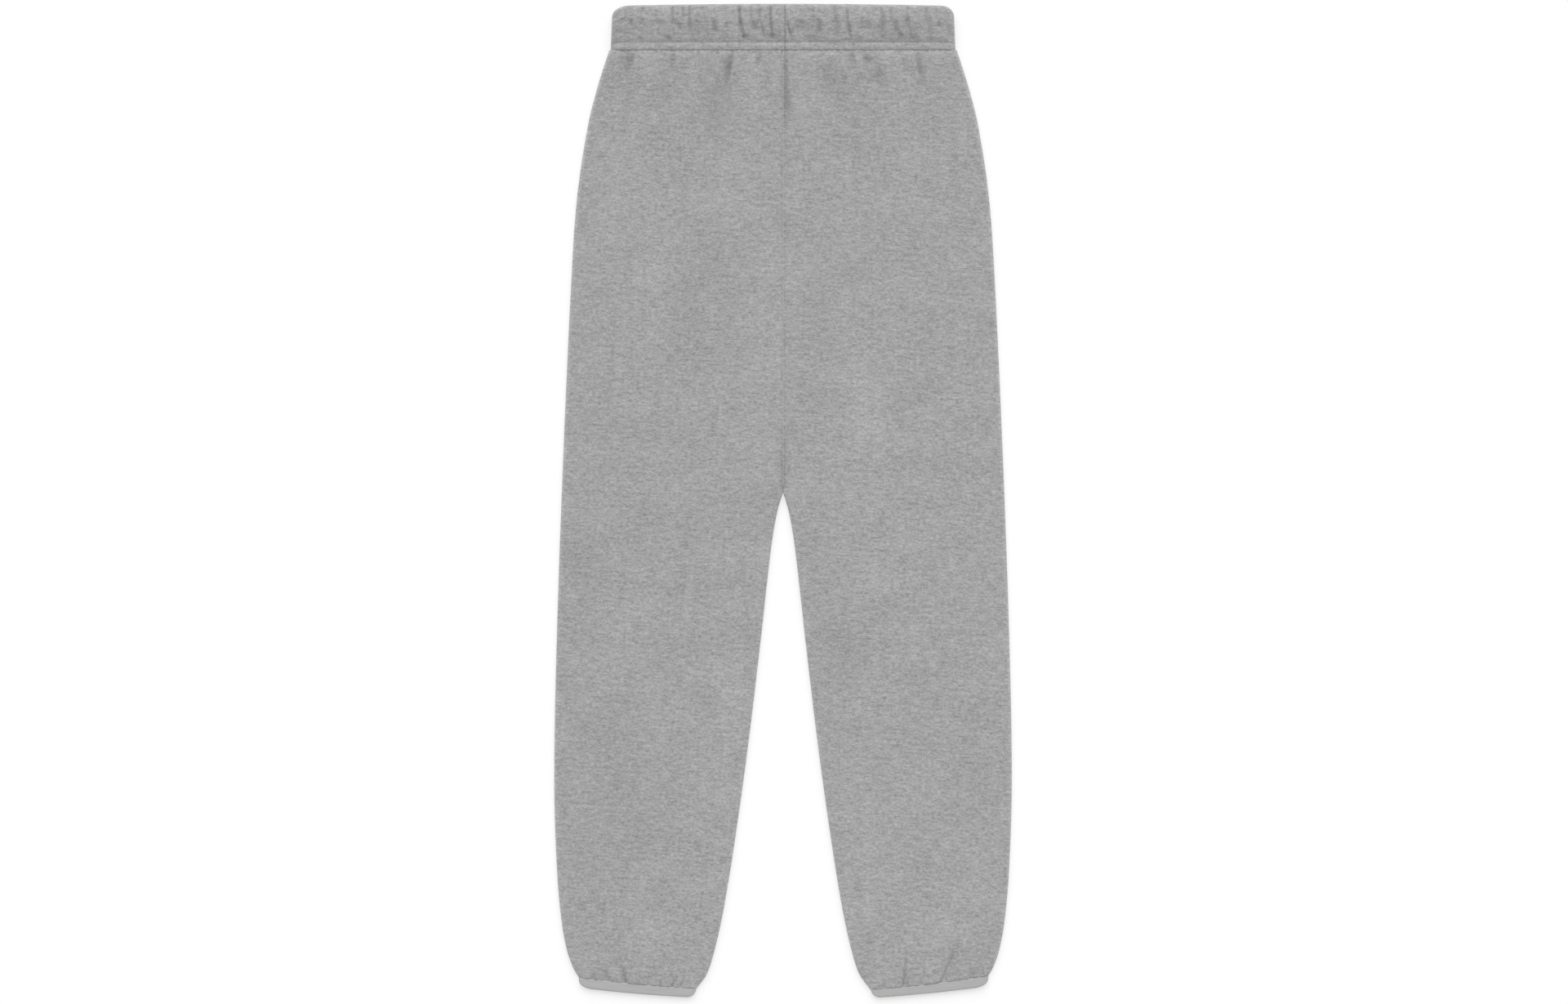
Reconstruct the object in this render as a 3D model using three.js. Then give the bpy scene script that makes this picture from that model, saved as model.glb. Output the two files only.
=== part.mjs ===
// Jogger sweatpants in heavy brushed fleece, laid flat on their front with the back upward.
// Units are millimetres. X runs across the garment, Y up towards the waist and Z up from the
// surface it lies on. The origin is the middle of the footprint, on that surface.
// Four leg panels lie on each other as two flattened tubes that share the seat. A gathered
// waistband and two narrow elastic bindings close the waist and the hems.
import * as THREE from "three";

const { lerp, clamp, smoothstep, degToRad } = THREE.MathUtils;

// Driving dimensions
const LENGTH = 1020; // the waistband's top edge to the lowest corner of the hem binding
const CLOTH = 2.4; // thickness of the brushed fleece
const SEAM_GAP = 0.3; // between two pieces that are sewn together
const EDGE_ROUND = 5.5; // how far in from the outline the folded edge turns over, in plan

// Waistband: a folded casing with the elastic inside
const BAND_HALF = 177; // half its width as it lies
const BAND_DOWN = 47; // its top edge to the seam with the legs
const BAND_CORNER = 9.5; // radius of its two top corners, in plan
const BAND_BOW = 2.4; // how much lower its top edge is at the sides than in the middle
const BAND_ROUND = 7; // how far in its folded sides turn over
const BAND_LIP = 3.2; // radius of the fold along its top edge

// Legs
const CROTCH_DOWN = 501; // the top edge to the point where the legs part
const CROTCH_DIP = 16; // the length over which the centre seam turns over the edge there
const HEM_DOWN = 1000; // the top edge to the hem at the outer side of the leg
const HEM_DROP = 10; // how much lower the hem is at the inseam
const HEM_BOW = 1.2; // how far the hem curves down between its ends
const HEM_SLANT_FROM = 880; // where the rows start to lean towards the hem
const MIDDLE_SAG = 0.9; // how much lower the cloth lies away from the folded edges
const SAG_ASIDE = { from: 9, to: 46 }; // it sets in over this distance from the outline
const SAG_STARTS = { from: 80, to: 160 }; // and over these distances below the top edge
const SAG_ENDS = { from: 930, to: 990 };
const FOLD_HELD = 0.45; // the share of a held fold's rise that is there at its seam
const FOLD_SWELL = 0.2; // the share of its length over which it reaches its full rise

// Hem binding: a narrow elastic tape
const BINDING_WIDTH = 10.3;
const BINDING_WALL = 2.1;
const BINDING_HIGH = 5.4; // the flattened ring, lower than the fleece beside it
const BINDING_SIDE_CORNER = 7; // radius of its corner at the outer side, in plan
const BINDING_INSEAM_CORNER = 3.5; // and at the inseam
const BINDING_SIDE_IN = 3; // how far its lower edge is inside the upper one, at the outer side
const BINDING_INSEAM_IN = 4; // and at the inseam
const BINDING_ROUND = 4.2; // how far in its two folds turn over
const BINDING_THINS_FROM = 0.8; // its lower edge is rounded beyond this share of its width
const BINDING_THINS_BY = 0.35; // by this share of its wall, on each face

// Half the garment's width at the outer sides, by distance below the top edge
const SIDE_LINE = [
  { down: 47, half: 178.5 },
  { down: 66, half: 184.8 },
  { down: 88, half: 191.5 },
  { down: 122, half: 200 },
  { down: 189, half: 210.5 },
  { down: 256, half: 216 },
  { down: 457, half: 225.5 },
  { down: 658, half: 232.6 },
  { down: 800, half: 235 },
  { down: 893, half: 232 },
  { down: 943, half: 227.3 },
  { down: 972, half: 221.8 },
  { down: 990, half: 215.2 },
  { down: 1000, half: 209 },
];

// Half the gap between the legs, by distance below the top edge
const INSEAM_LINE = [
  { down: 501, half: 0 },
  { down: 509, half: 2.6 },
  { down: 524, half: 6.6 },
  { down: 558, half: 12.2 },
  { down: 658, half: 23.5 },
  { down: 759, half: 35.6 },
  { down: 859, half: 49.5 },
  { down: 926, half: 60.4 },
  { down: 960, half: 67.5 },
  { down: 985, half: 74.2 },
  { down: 998, half: 79.6 },
  { down: 1010, half: 88.5 },
];

// How high the folded edge stands along the legs. The front panel lies flat below it.
const LOFT = [
  { down: 47, high: 9.8 },
  { down: 75, high: 9.3 },
  { down: 125, high: 8 },
  { down: 210, high: 7.2 },
  { down: 400, high: 7.1 },
  { down: 800, high: 7.1 },
  { down: 950, high: 7.6 },
  { down: 985, high: 7.6 },
  { down: 1000, high: 7 },
];

// The waistband's height and its wall, by distance below its top edge
const BAND_PROFILE = [
  { down: 0, high: 12.2, wall: 5.6 },
  { down: 9, high: 13.2, wall: 6.1 },
  { down: 22, high: 12.6, wall: 5.9 },
  { down: 33, high: 11.6, wall: 5.3 },
  { down: 38.5, high: 10.2, wall: 4.6 },
  { down: 42, high: 11, wall: 4.8 },
  { down: 47, high: 10.2, wall: 4.5 },
];

// Gathers and folds of the back, each a soft ridge or trough along a line. "x" and "down" are
// where it starts, "toX" and "toDown" where it ends, "rise" its height or, below 0, its depth.
// "steep" is 1 where its side towards +X is the steep one, -1 for the other side, 0 for neither.
// Gathers are held in a seam and die away from it.
const GATHERS = [
  { x: -160, down: 47, toX: -170, toDown: 86, width: 6, rise: -2.2, steep: 1 },
  { x: -139, down: 47, toX: -146, toDown: 90, width: 9, rise: 1.2, steep: 0 },
  { x: -113, down: 47, toX: -127, toDown: 122, width: 8, rise: -2.2, steep: 1 },
  { x: -90, down: 47, toX: -104, toDown: 126, width: 9, rise: 1.6, steep: 0 },
  { x: -55, down: 47, toX: -79, toDown: 158, width: 9, rise: -3.4, steep: 1 },
  { x: -34, down: 47, toX: -36, toDown: 70, width: 6, rise: -1.2, steep: 1 },
  { x: -26, down: 47, toX: -30, toDown: 160, width: 13, rise: 1.5, steep: 0 },
  { x: 1, down: 47, toX: 1, toDown: 200, width: 8, rise: -2.2, steep: 0 },
  { x: 20, down: 47, toX: 24, toDown: 120, width: 10, rise: 1.4, steep: 0 },
  { x: 43, down: 47, toX: 68, toDown: 142, width: 9, rise: -2.4, steep: -1 },
  { x: 66, down: 47, toX: 74, toDown: 96, width: 8, rise: 1.1, steep: 0 },
  { x: 87, down: 47, toX: 98, toDown: 104, width: 8, rise: -2.6, steep: -1 },
  { x: 113, down: 47, toX: 126, toDown: 112, width: 11, rise: 1.6, steep: 0 },
  { x: 137, down: 47, toX: 147, toDown: 92, width: 7, rise: -2.5, steep: -1 },
  { x: 158, down: 47, toX: 167, toDown: 88, width: 8, rise: 0.9, steep: 0 },
];
const HEM_GATHERS = [
  { x: -184, down: 1001, toX: -181, toDown: 982, width: 5, rise: -1.4, steep: 1 },
  { x: -172, down: 1001, toX: -174, toDown: 976, width: 6, rise: 0.8, steep: 0 },
  { x: -161, down: 1003, toX: -168, toDown: 962, width: 6, rise: -2.2, steep: 1 },
  { x: -149, down: 1004, toX: -153, toDown: 968, width: 8, rise: 0.9, steep: 0 },
  { x: -113, down: 1007, toX: -106, toDown: 986, width: 5, rise: -1.4, steep: 0 },
  { x: -101, down: 1008, toX: -95, toDown: 990, width: 5, rise: -1.1, steep: 0 },
  { x: 125, down: 1006, toX: 128, toDown: 962, width: 6, rise: -2.3, steep: 1 },
  { x: 147, down: 1004, toX: 154, toDown: 962, width: 10, rise: 1.1, steep: 0 },
  { x: 165, down: 1003, toX: 181, toDown: 958, width: 7, rise: -2.1, steep: -1 },
  { x: 193, down: 1001, toX: 197, toDown: 978, width: 6, rise: -1.2, steep: 0 },
];
// Soft folds of the lying cloth die away at both ends
const SOFT_FOLDS = [
  { x: -120, down: 130, toX: -141, toDown: 420, width: 18, rise: 1, steep: 0 },
  { x: -74, down: 170, toX: -124, toDown: 470, width: 22, rise: -1, steep: 0 },
  { x: -205, down: 500, toX: -200, toDown: 680, width: 16, rise: -0.9, steep: 0 },
  { x: -92, down: 470, toX: -96, toDown: 640, width: 17, rise: -0.9, steep: 0 },
  { x: -44, down: 600, toX: -62, toDown: 860, width: 14, rise: 0.8, steep: 0 },
  { x: 32, down: 230, toX: 40, toDown: 440, width: 13, rise: -0.8, steep: 0 },
  { x: 74, down: 310, toX: 108, toDown: 560, width: 19, rise: 1, steep: 0 },
  { x: 36, down: 590, toX: 70, toDown: 730, width: 20, rise: -0.9, steep: 0 },
  { x: 196, down: 700, toX: 192, toDown: 850, width: 17, rise: -0.8, steep: 0 },
  { x: 80, down: 790, toX: 98, toDown: 960, width: 14, rise: 0.8, steep: 0 },
];
const STEEP_SIDE = 0.5; // the steep side's width, as a share of the fold's
const GENTLE_SIDE = 1.3; // and the other side's, where one is steep

// Creases of the gathered waistband on the back, across it from the top edge to the stitching
const BAND_CREASES = [
  { x: -163, lean: 2, width: 5, depth: 0.9 },
  { x: -146, lean: -1, width: 4.5, depth: 1.3 },
  { x: -131, lean: 1, width: 4, depth: 0.9 },
  { x: -116, lean: 1, width: 4.5, depth: 1.5 },
  { x: -97, lean: 2, width: 4, depth: 1.4 },
  { x: -84, lean: -1, width: 3.6, depth: 1 },
  { x: -70, lean: 2, width: 4.5, depth: 1.6 },
  { x: -43, lean: 4, width: 3.8, depth: 2.1 },
  { x: -28, lean: 1, width: 4.5, depth: 1.2 },
  { x: -12, lean: 2, width: 3.4, depth: 2.1 },
  { x: 8, lean: 5, width: 3.2, depth: 1.5 },
  { x: 19, lean: 1, width: 4, depth: 1 },
  { x: 37, lean: 1, width: 4.5, depth: 1.5 },
  { x: 54, lean: 2, width: 4.5, depth: 1.2 },
  { x: 68, lean: 4, width: 3.6, depth: 1.9 },
  { x: 84, lean: 0, width: 4.5, depth: 1.3 },
  { x: 103, lean: 3, width: 4.2, depth: 1.8 },
  { x: 117, lean: 4, width: 3.8, depth: 1.7 },
  { x: 132, lean: 5, width: 4, depth: 1.3 },
  { x: 151, lean: 2, width: 5, depth: 1 },
  { x: 165, lean: -2, width: 5, depth: 0.8 },
];
const BAND_PUFF = 0.8; // how much the cloth between two creases swells
const STITCHED_FROM = 30; // the creases fade from here, by distance below the top edge
const STITCHED_TO = 38.5; // to here, where the first row of stitching holds them
const STITCHED_FADE = 0.7; // by this share

// Rows of the legs, in stretches: close together where there are gathers or a turn
const LEG_STRETCHES = [
  { from: BAND_DOWN + SEAM_GAP, to: 104, steps: 6 },
  { from: 104, to: 190, steps: 4 },
  { from: 190, to: CROTCH_DOWN - CROTCH_DIP, steps: 4 },
  { from: CROTCH_DOWN - CROTCH_DIP, to: CROTCH_DOWN + 8, steps: 3 },
  { from: CROTCH_DOWN + 8, to: 560, steps: 2 },
  { from: 560, to: 940, steps: 5 },
  { from: 940, to: HEM_DOWN - SEAM_GAP, steps: 7 },
];
const BAND_ROWS = [0.15, 1, 3.2, 10, 20, 31, 36.5, 38.5, 41.5, BAND_DOWN];
const BINDING_ROWS = [0, 0.45, 0.85, 1]; // as shares of the binding's width
const ARC_STEPS = 3; // steps of a panel's quarter turn at a folded edge
const FRONT_STEPS = 5; // steps across the flat front panels
const FLAT_CLOTH = 0.065; // the widest step across the back panels, as a share of the leg
const SHARP_FOLD = -1.3; // a gather as deep as this gets columns of its own
const STEEP_FOOT = 1.5; // where the steep side's column stands, in widths of that side
const BAND_TURN_STEPS = 6;
const BINDING_TURN_STEPS = 4;
const BAND_FRONT = [0.75, 0.25, -0.25, -0.75]; // columns of the waistband's hidden front
const BINDING_ACROSS = [0.6, 0.2, -0.2, -0.6];
const BAND_STEP_LEAST = 0.008; // the least step across the waistband, as a share of its half
const BAND_CREASED = 0.985; // no column for a crease lies further out than this share

// A smooth value from a table, by distance below the top edge
function along(table, column, down) {
  const last = table.length - 1;
  const slope = (i) => {
    const a = table[Math.max(i - 1, 0)];
    const b = table[Math.min(i + 1, last)];
    return (b[column] - a[column]) / (b.down - a.down);
  };
  const d = clamp(down, table[0].down, table[last].down);
  let i = 0;
  while (i < last - 1 && d > table[i + 1].down) i++;
  const span = table[i + 1].down - table[i].down;
  const t = (d - table[i].down) / span;
  const rest = 1 - t;
  return (
    table[i][column] * (1 + 2 * t) * rest * rest +
    slope(i) * span * t * rest * rest +
    table[i + 1][column] * (3 - 2 * t) * t * t -
    slope(i + 1) * span * rest * t * t
  );
}

// The height that one fold adds at a point of the back
function foldAt(fold, isHeld, x, down) {
  const runX = fold.toX - fold.x;
  const runDown = fold.toDown - fold.down;
  const length = Math.hypot(runX, runDown);
  const share = ((x - fold.x) * runX + (down - fold.down) * runDown) / length ** 2;
  const aside = ((x - fold.x) * runDown - (down - fold.down) * runX) / length;
  const t = clamp(share, 0, 1);
  const swell = lerp(FOLD_HELD, 1, smoothstep(t, 0, FOLD_SWELL));
  const held = swell * Math.cos((t * Math.PI) / 2) ** 2;
  const free = Math.sin(t * Math.PI) ** 2;
  const toSteep = aside * fold.steep * Math.sign(runDown);
  const side = fold.steep === 0 ? 1 : toSteep > 0 ? STEEP_SIDE : GENTLE_SIDE;
  const across = Math.exp(-((aside / (fold.width * side)) ** 2));
  return fold.rise * across * (isHeld ? held : free);
}

function reliefAt(x, down) {
  const gathers = [...GATHERS, ...HEM_GATHERS].map((fold) => foldAt(fold, true, x, down));
  const soft = SOFT_FOLDS.map((fold) => foldAt(fold, false, x, down));
  return [...gathers, ...soft].reduce((sum, height) => sum + height, 0);
}

// The section of one leg across a row
function legSection(down) {
  const slant = HEM_DROP * smoothstep(down, HEM_SLANT_FROM, HEM_DOWN);
  const overEdge = smoothstep(down, CROTCH_DOWN - CROTCH_DIP, CROTCH_DOWN);
  return {
    down,
    slant,
    inseam: SEAM_GAP / 2 + along(INSEAM_LINE, "half", down + slant),
    side: along(SIDE_LINE, "half", down),
    high: along(LOFT, "high", down),
    start: degToRad(90) * (1 - overEdge),
    sag:
      MIDDLE_SAG *
      smoothstep(down, SAG_STARTS.from, SAG_STARTS.to) *
      (1 - smoothstep(down, SAG_ENDS.from, SAG_ENDS.to)),
  };
}

// A point of a leg panel. "face" is 1 on the back and -1 on the front. "zone" is the turn at
// the inseam, the flat or the turn at the side, and "t" runs from 0 to 1 through it, outwards.
// "depth" is how far into the wall from its outer face.
function legPoint(sideOf, face, section, zone, t, depth) {
  const { inseam, side, start } = section;
  const cosStart = Math.cos(start);
  const flatFrom = inseam + EDGE_ROUND * cosStart;
  const flatTo = side - EDGE_ROUND;
  let angle = Math.PI / 2;
  let x = lerp(flatFrom, flatTo, t);
  if (zone === "inseam") {
    angle = lerp(start, Math.PI / 2, t);
    x = inseam + depth * cosStart + (EDGE_ROUND - depth) * (cosStart - Math.cos(angle));
  }
  if (zone === "side") {
    angle = (1 - t) * (Math.PI / 2);
    x = flatTo + (EDGE_ROUND - depth) * Math.cos(angle);
  }
  const across = clamp((x - inseam) / (side - inseam), 0, 1);
  const bow = (4 * HEM_BOW * across * (1 - across) * section.slant) / HEM_DROP;
  const down = section.down + section.slant * (1 - across) + bow;
  const base = face > 0 ? CLOTH + SEAM_GAP : CLOTH;
  const reach = face > 0 ? section.high - base : base;
  let z = base + face * (reach - depth) * Math.sin(angle);
  if (face > 0) {
    const crotch = Math.hypot(x, Math.max(CROTCH_DOWN - down, 0));
    const inseamEdge = down < CROTCH_DOWN ? crotch : x - inseam;
    const edge = Math.min(side - x, inseamEdge);
    const flatness = Math.sin(angle) ** 2;
    z += flatness * reliefAt(sideOf * x, down);
    z -= flatness * section.sag * smoothstep(edge, SAG_ASIDE.from, SAG_ASIDE.to);
  }
  return new THREE.Vector3(sideOf * x, LENGTH / 2 - down, z);
}

// A closed wall between an outer and an inner grid of points
function wall(outer, inner, closed) {
  const rows = outer.length;
  const columns = outer[0].length;
  const spans = closed ? columns : columns - 1;
  const index = [];
  const at = (layer, r, c) => (layer * rows + r) * columns + (c % columns);
  const quad = (a, b, c, d) => index.push(a, b, c, a, c, d);
  for (let c = 0; c < spans; c++) {
    for (let r = 0; r < rows - 1; r++) {
      quad(at(0, r, c), at(0, r + 1, c), at(0, r + 1, c + 1), at(0, r, c + 1));
      quad(at(1, r, c), at(1, r, c + 1), at(1, r + 1, c + 1), at(1, r + 1, c));
    }
    const last = rows - 1;
    quad(at(0, 0, c), at(0, 0, c + 1), at(1, 0, c + 1), at(1, 0, c));
    quad(at(0, last, c + 1), at(0, last, c), at(1, last, c), at(1, last, c + 1));
  }
  if (!closed) {
    const last = columns - 1;
    for (let r = 0; r < rows - 1; r++) {
      quad(at(0, r + 1, 0), at(0, r, 0), at(1, r, 0), at(1, r + 1, 0));
      quad(at(0, r, last), at(0, r + 1, last), at(1, r + 1, last), at(1, r, last));
    }
  }
  const points = [...outer.flat(), ...inner.flat()];
  const volume = index.reduce((sum, _, i) => {
    if (i % 3) return sum;
    const [a, b, c] = [points[index[i]], points[index[i + 1]], points[index[i + 2]]];
    return sum + a.dot(new THREE.Vector3().crossVectors(b, c));
  }, 0);
  if (volume < 0) index.reverse();
  const geometry = new THREE.BufferGeometry().setFromPoints(points);
  geometry.setIndex(index);
  geometry.computeVertexNormals();
  return geometry;
}

const stretch = ({ from, to, steps }) =>
  Array.from({ length: steps }, (_, i) => lerp(from, to, i / steps));

// Columns across the flat of a back panel: at each gather and beside it, filled in between
function backColumns(sideOf) {
  const shareOf = (x, down) => {
    const { inseam, side } = legSection(down);
    return (x * sideOf - inseam - EDGE_ROUND) / (side - inseam - 2 * EDGE_ROUND);
  };
  const wanted = [0, 1];
  for (const { x, down, width, rise, steep } of [...GATHERS, ...HEM_GATHERS]) {
    if (rise > SHARP_FOLD || x * sideOf < width / 2) continue;
    const row = Math.min(down, HEM_DOWN - 1);
    const toSteep = steep || 1;
    wanted.push(shareOf(x - toSteep * width, row));
    wanted.push(shareOf(x, row));
    wanted.push(shareOf(x + toSteep * width * (steep ? STEEP_SIDE * STEEP_FOOT : 1), row));
  }
  const sorted = wanted.filter((s) => s >= 0 && s <= 1).sort((a, b) => a - b);
  const apart = FLAT_CLOTH / 3;
  const kept = sorted.filter((s, i) => s === 1 || i === 0 || s - sorted[i - 1] > apart);
  return kept.flatMap((s, i) => {
    if (i === kept.length - 1) return [s];
    const steps = Math.ceil((kept[i + 1] - s) / FLAT_CLOTH);
    return stretch({ from: s, to: kept[i + 1], steps });
  });
}

function legPanel(sideOf, face) {
  const flat =
    face > 0 ? backColumns(sideOf) : [...stretch({ from: 0, to: 1, steps: FRONT_STEPS }), 1];
  const turn = stretch({ from: 0, to: 1, steps: ARC_STEPS });
  const places = [
    ...turn.map((t) => ["inseam", t]),
    ...flat.map((t) => ["flat", t]),
    ...turn.map((t) => ["side", t + 1 / ARC_STEPS]),
  ];
  const downs = [...LEG_STRETCHES.flatMap(stretch), HEM_DOWN - SEAM_GAP];
  const grid = (depth) =>
    downs.map((down) => {
      const section = legSection(down);
      return places.map(([zone, t]) => legPoint(sideOf, face, section, zone, t, depth));
    });
  return wall(grid(0), grid(CLOTH), false);
}

// How far below the straight top line an edge with round corners lies, "inside" its end
const cornerDrop = (inside, radius) =>
  inside < radius ? radius - Math.sqrt(radius ** 2 - (radius - Math.max(inside, 0)) ** 2) : 0;

// The relief of the waistband's creases on the back
function bandRelief(x, down) {
  const fade = 1 - STITCHED_FADE * smoothstep(down, STITCHED_FROM, STITCHED_TO);
  const crease = BAND_CREASES.reduce((sum, { x: at, lean, width, depth }) => {
    const centre = at + (lean * down) / BAND_DOWN;
    return sum + depth * Math.exp(-(((x - centre) / width) ** 2));
  }, 0);
  return fade * (BAND_PUFF - crease);
}

// A point of a flat ring, as [x, z]: "turn" goes from 0 at the back's edge to 1 at the front's
function ringPlace(place, half, round, high, depth) {
  const middle = high / 2;
  if (place.face) {
    return [place.share * (half - round), middle + place.face * (middle - depth)];
  }
  const angle = lerp(Math.PI / 2, -Math.PI / 2, place.turn);
  const x = half - round + (round - depth) * Math.cos(angle);
  return [place.end * x, middle + (middle - depth) * Math.sin(angle)];
}

function waistband() {
  const seamAt = SEAM_GAP / 2 / (BAND_HALF - BAND_ROUND);
  const marks = BAND_CREASES.flatMap(({ x, width }) => [x - width, x, x + width]);
  const between = BAND_CREASES.slice(1).map((c, i) => (c.x + BAND_CREASES[i].x) / 2);
  const shares = [...marks, ...between]
    .map((x) => x / (BAND_HALF - BAND_ROUND))
    .filter((s) => Math.abs(s) > seamAt + BAND_STEP_LEAST && Math.abs(s) < BAND_CREASED)
    .sort((a, b) => a - b)
    .filter((s, i, all) => i === 0 || s - all[i - 1] > BAND_STEP_LEAST);
  const back = (s) => ({ face: 1, share: s });
  const turns = [...stretch({ from: 0, to: 1, steps: BAND_TURN_STEPS }), 1];
  const places = [
    back(seamAt),
    ...shares.filter((s) => s > 0).map(back),
    ...turns.map((turn) => ({ end: 1, turn })),
    ...BAND_FRONT.map((share) => ({ face: -1, share })),
    ...turns.map((turn) => ({ end: -1, turn: 1 - turn })),
    ...shares.filter((s) => s < 0).map(back),
    back(-seamAt),
  ];
  const grid = (isInner) =>
    BAND_ROWS.map((row) =>
      places.map((place) => {
        const thick = along(BAND_PROFILE, "wall", row);
        const lip = Math.max(0, 1 - row / BAND_LIP);
        const turnedIn = (thick / 2) * (1 - Math.sqrt(1 - lip ** 2));
        const depth = isInner ? thick - turnedIn : turnedIn;
        const high = along(BAND_PROFILE, "high", row);
        const [x, flatZ] = ringPlace(place, BAND_HALF, BAND_ROUND, high, depth);
        const bow = BAND_BOW * (x / BAND_HALF) ** 2;
        const topDrop = bow + cornerDrop(BAND_HALF - Math.abs(x), BAND_CORNER);
        const down = topDrop + row * (1 - topDrop / BAND_DOWN);
        const lifted = place.face === 1 && !isInner ? bandRelief(x, row) * (1 - lip) : 0;
        return new THREE.Vector3(x, LENGTH / 2 - down, flatZ + lifted);
      }),
    );
  return wall(grid(false), grid(true), false);
}

function hemBinding(sideOf) {
  const top = legSection(HEM_DOWN);
  const turns = [...stretch({ from: 0, to: 1, steps: BINDING_TURN_STEPS }), 1];
  const places = [
    ...BINDING_ACROSS.map((share) => ({ face: 1, share: -share })),
    ...turns.map((turn) => ({ end: 1, turn })),
    ...BINDING_ACROSS.map((share) => ({ face: -1, share })),
    ...turns.map((turn) => ({ end: -1, turn: 1 - turn })),
  ];
  const grid = (isInner) =>
    BINDING_ROWS.map((row) =>
      places.map((place) => {
        const inseam = top.inseam + BINDING_INSEAM_IN * row;
        const side = top.side - BINDING_SIDE_IN * row;
        const half = (side - inseam) / 2;
        const edge = BINDING_THINS_BY * BINDING_WALL * smoothstep(row, BINDING_THINS_FROM, 1);
        const depth = isInner ? BINDING_WALL - edge : edge;
        const [fromMiddle, z] = ringPlace(place, half, BINDING_ROUND, BINDING_HIGH, depth);
        const share = clamp((fromMiddle / half + 1) / 2, 0, 1);
        const join = HEM_DOWN + HEM_DROP * (1 - share) + 4 * HEM_BOW * share * (1 - share);
        const drop =
          cornerDrop(half - fromMiddle, BINDING_SIDE_CORNER) +
          cornerDrop(half + fromMiddle, BINDING_INSEAM_CORNER);
        const down = join + row * (BINDING_WIDTH - drop);
        const x = (inseam + side) / 2 + fromMiddle;
        return new THREE.Vector3(sideOf * x, LENGTH / 2 - down, z);
      }),
    );
  return wall(grid(false), grid(true), true);
}

const fleece = (name) =>
  new THREE.MeshStandardMaterial({ name, color: "#a3a3a3", roughness: 0.95, metalness: 0 });
const tape = (name) =>
  new THREE.MeshStandardMaterial({ name, color: "#b0b0b0", roughness: 0.85, metalness: 0 });

const sweatpants = new THREE.Group();
function addPiece(name, geometry, material) {
  const mesh = new THREE.Mesh(geometry, material(name));
  mesh.name = name;
  sweatpants.add(mesh);
}

for (const [sideName, sideOf] of [
  ["left", -1],
  ["right", 1],
]) {
  addPiece(`back_leg_${sideName}`, legPanel(sideOf, 1), fleece);
  addPiece(`front_leg_${sideName}`, legPanel(sideOf, -1), fleece);
  addPiece(`hem_binding_${sideName}`, hemBinding(sideOf), tape);
}
addPiece("waistband", waistband(), fleece);

export default sweatpants;
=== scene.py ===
import math
from collections import namedtuple

import bmesh
import bpy
import numpy as np
from mathutils import Matrix, Vector


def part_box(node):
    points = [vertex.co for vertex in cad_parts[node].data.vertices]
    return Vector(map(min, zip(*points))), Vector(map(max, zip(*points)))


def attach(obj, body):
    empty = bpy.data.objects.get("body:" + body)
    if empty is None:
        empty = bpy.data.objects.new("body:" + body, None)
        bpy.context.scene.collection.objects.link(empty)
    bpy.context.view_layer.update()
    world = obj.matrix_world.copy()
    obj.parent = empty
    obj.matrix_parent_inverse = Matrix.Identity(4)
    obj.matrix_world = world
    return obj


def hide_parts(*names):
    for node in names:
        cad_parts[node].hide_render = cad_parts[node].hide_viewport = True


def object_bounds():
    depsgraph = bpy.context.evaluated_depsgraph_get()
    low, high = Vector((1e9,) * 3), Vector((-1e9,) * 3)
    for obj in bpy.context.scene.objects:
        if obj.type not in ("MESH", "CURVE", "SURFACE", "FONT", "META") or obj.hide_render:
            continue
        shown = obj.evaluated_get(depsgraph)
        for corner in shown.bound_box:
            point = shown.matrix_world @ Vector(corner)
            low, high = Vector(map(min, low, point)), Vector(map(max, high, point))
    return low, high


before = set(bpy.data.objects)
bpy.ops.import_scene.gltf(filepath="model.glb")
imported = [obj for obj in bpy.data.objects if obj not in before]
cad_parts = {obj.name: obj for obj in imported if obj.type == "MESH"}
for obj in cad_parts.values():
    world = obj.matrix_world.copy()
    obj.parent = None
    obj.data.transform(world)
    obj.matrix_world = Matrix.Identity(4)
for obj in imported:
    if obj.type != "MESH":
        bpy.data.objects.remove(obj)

bl_info = {
    "name": "Jogger sweatpants",
    "version": (1, 0, 0),
    "blender": (4, 5, 0),
    "location": "View3D > Sidebar > Sweatpants",
    "description": "Fleece jogger sweatpants laid flat with the back upward",
    "category": "Object",
}

# The solids' box in metres. The sizes below it are in millimetres.
CAD_BOX = [list(corner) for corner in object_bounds()]
MM = 0.001
TOP = CAD_BOX[1][1] / MM
BAND_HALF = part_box("waistband")[1][0] / MM
# How far below the top edge the waist seam, the crotch and the hems' joins lie
BAND_DOWN = 47.3
CROTCH_DOWN = 501.0
HEM_DOWN = 999.4
# The gaps at the seams and between front and back, how round the legs' folded edges are, and how
# far above the crotch the inseam's edge starts to turn over
SEAM_GAP = 0.06
FRONT_GAP = 0.3
EDGE_ROUND = 4.4
CROTCH_DIP = 16.0

# Each hem's join bows, and lies this much lower than HEM_DOWN at its side and inseam ends
HEM_SHIFTS = {-1: (-0.8, 10.6), 1: (-2.5, 11.9)}
HEM_BOW = 1.2
HEM_SLANT_FROM = 880.0
# The lying cloth sags away from its folded edges: how deep, over which distances from them, and
# where down the leg that sets in and ends
MIDDLE_SAG = 0.9
SAG_ASIDE = (9.0, 46.0)
SAG_STARTS = (80.0, 160.0)
SAG_ENDS = (930.0, 990.0)

# The waistband's top corners: how wide the left and the right one are, and how deep both are
BAND_CORNERS = (20.0, 15.0, 13.0)
# How far its top edge bows down, how much narrower each side is at the top, how round its folded
# sides and top are, and how much the cloth between its creases swells
BAND_BOW = 2.2
BAND_TAPER = 1.6
BAND_ROUND = 7.0
BAND_LIP = 3.2
BAND_PUFF = 0.8

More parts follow.
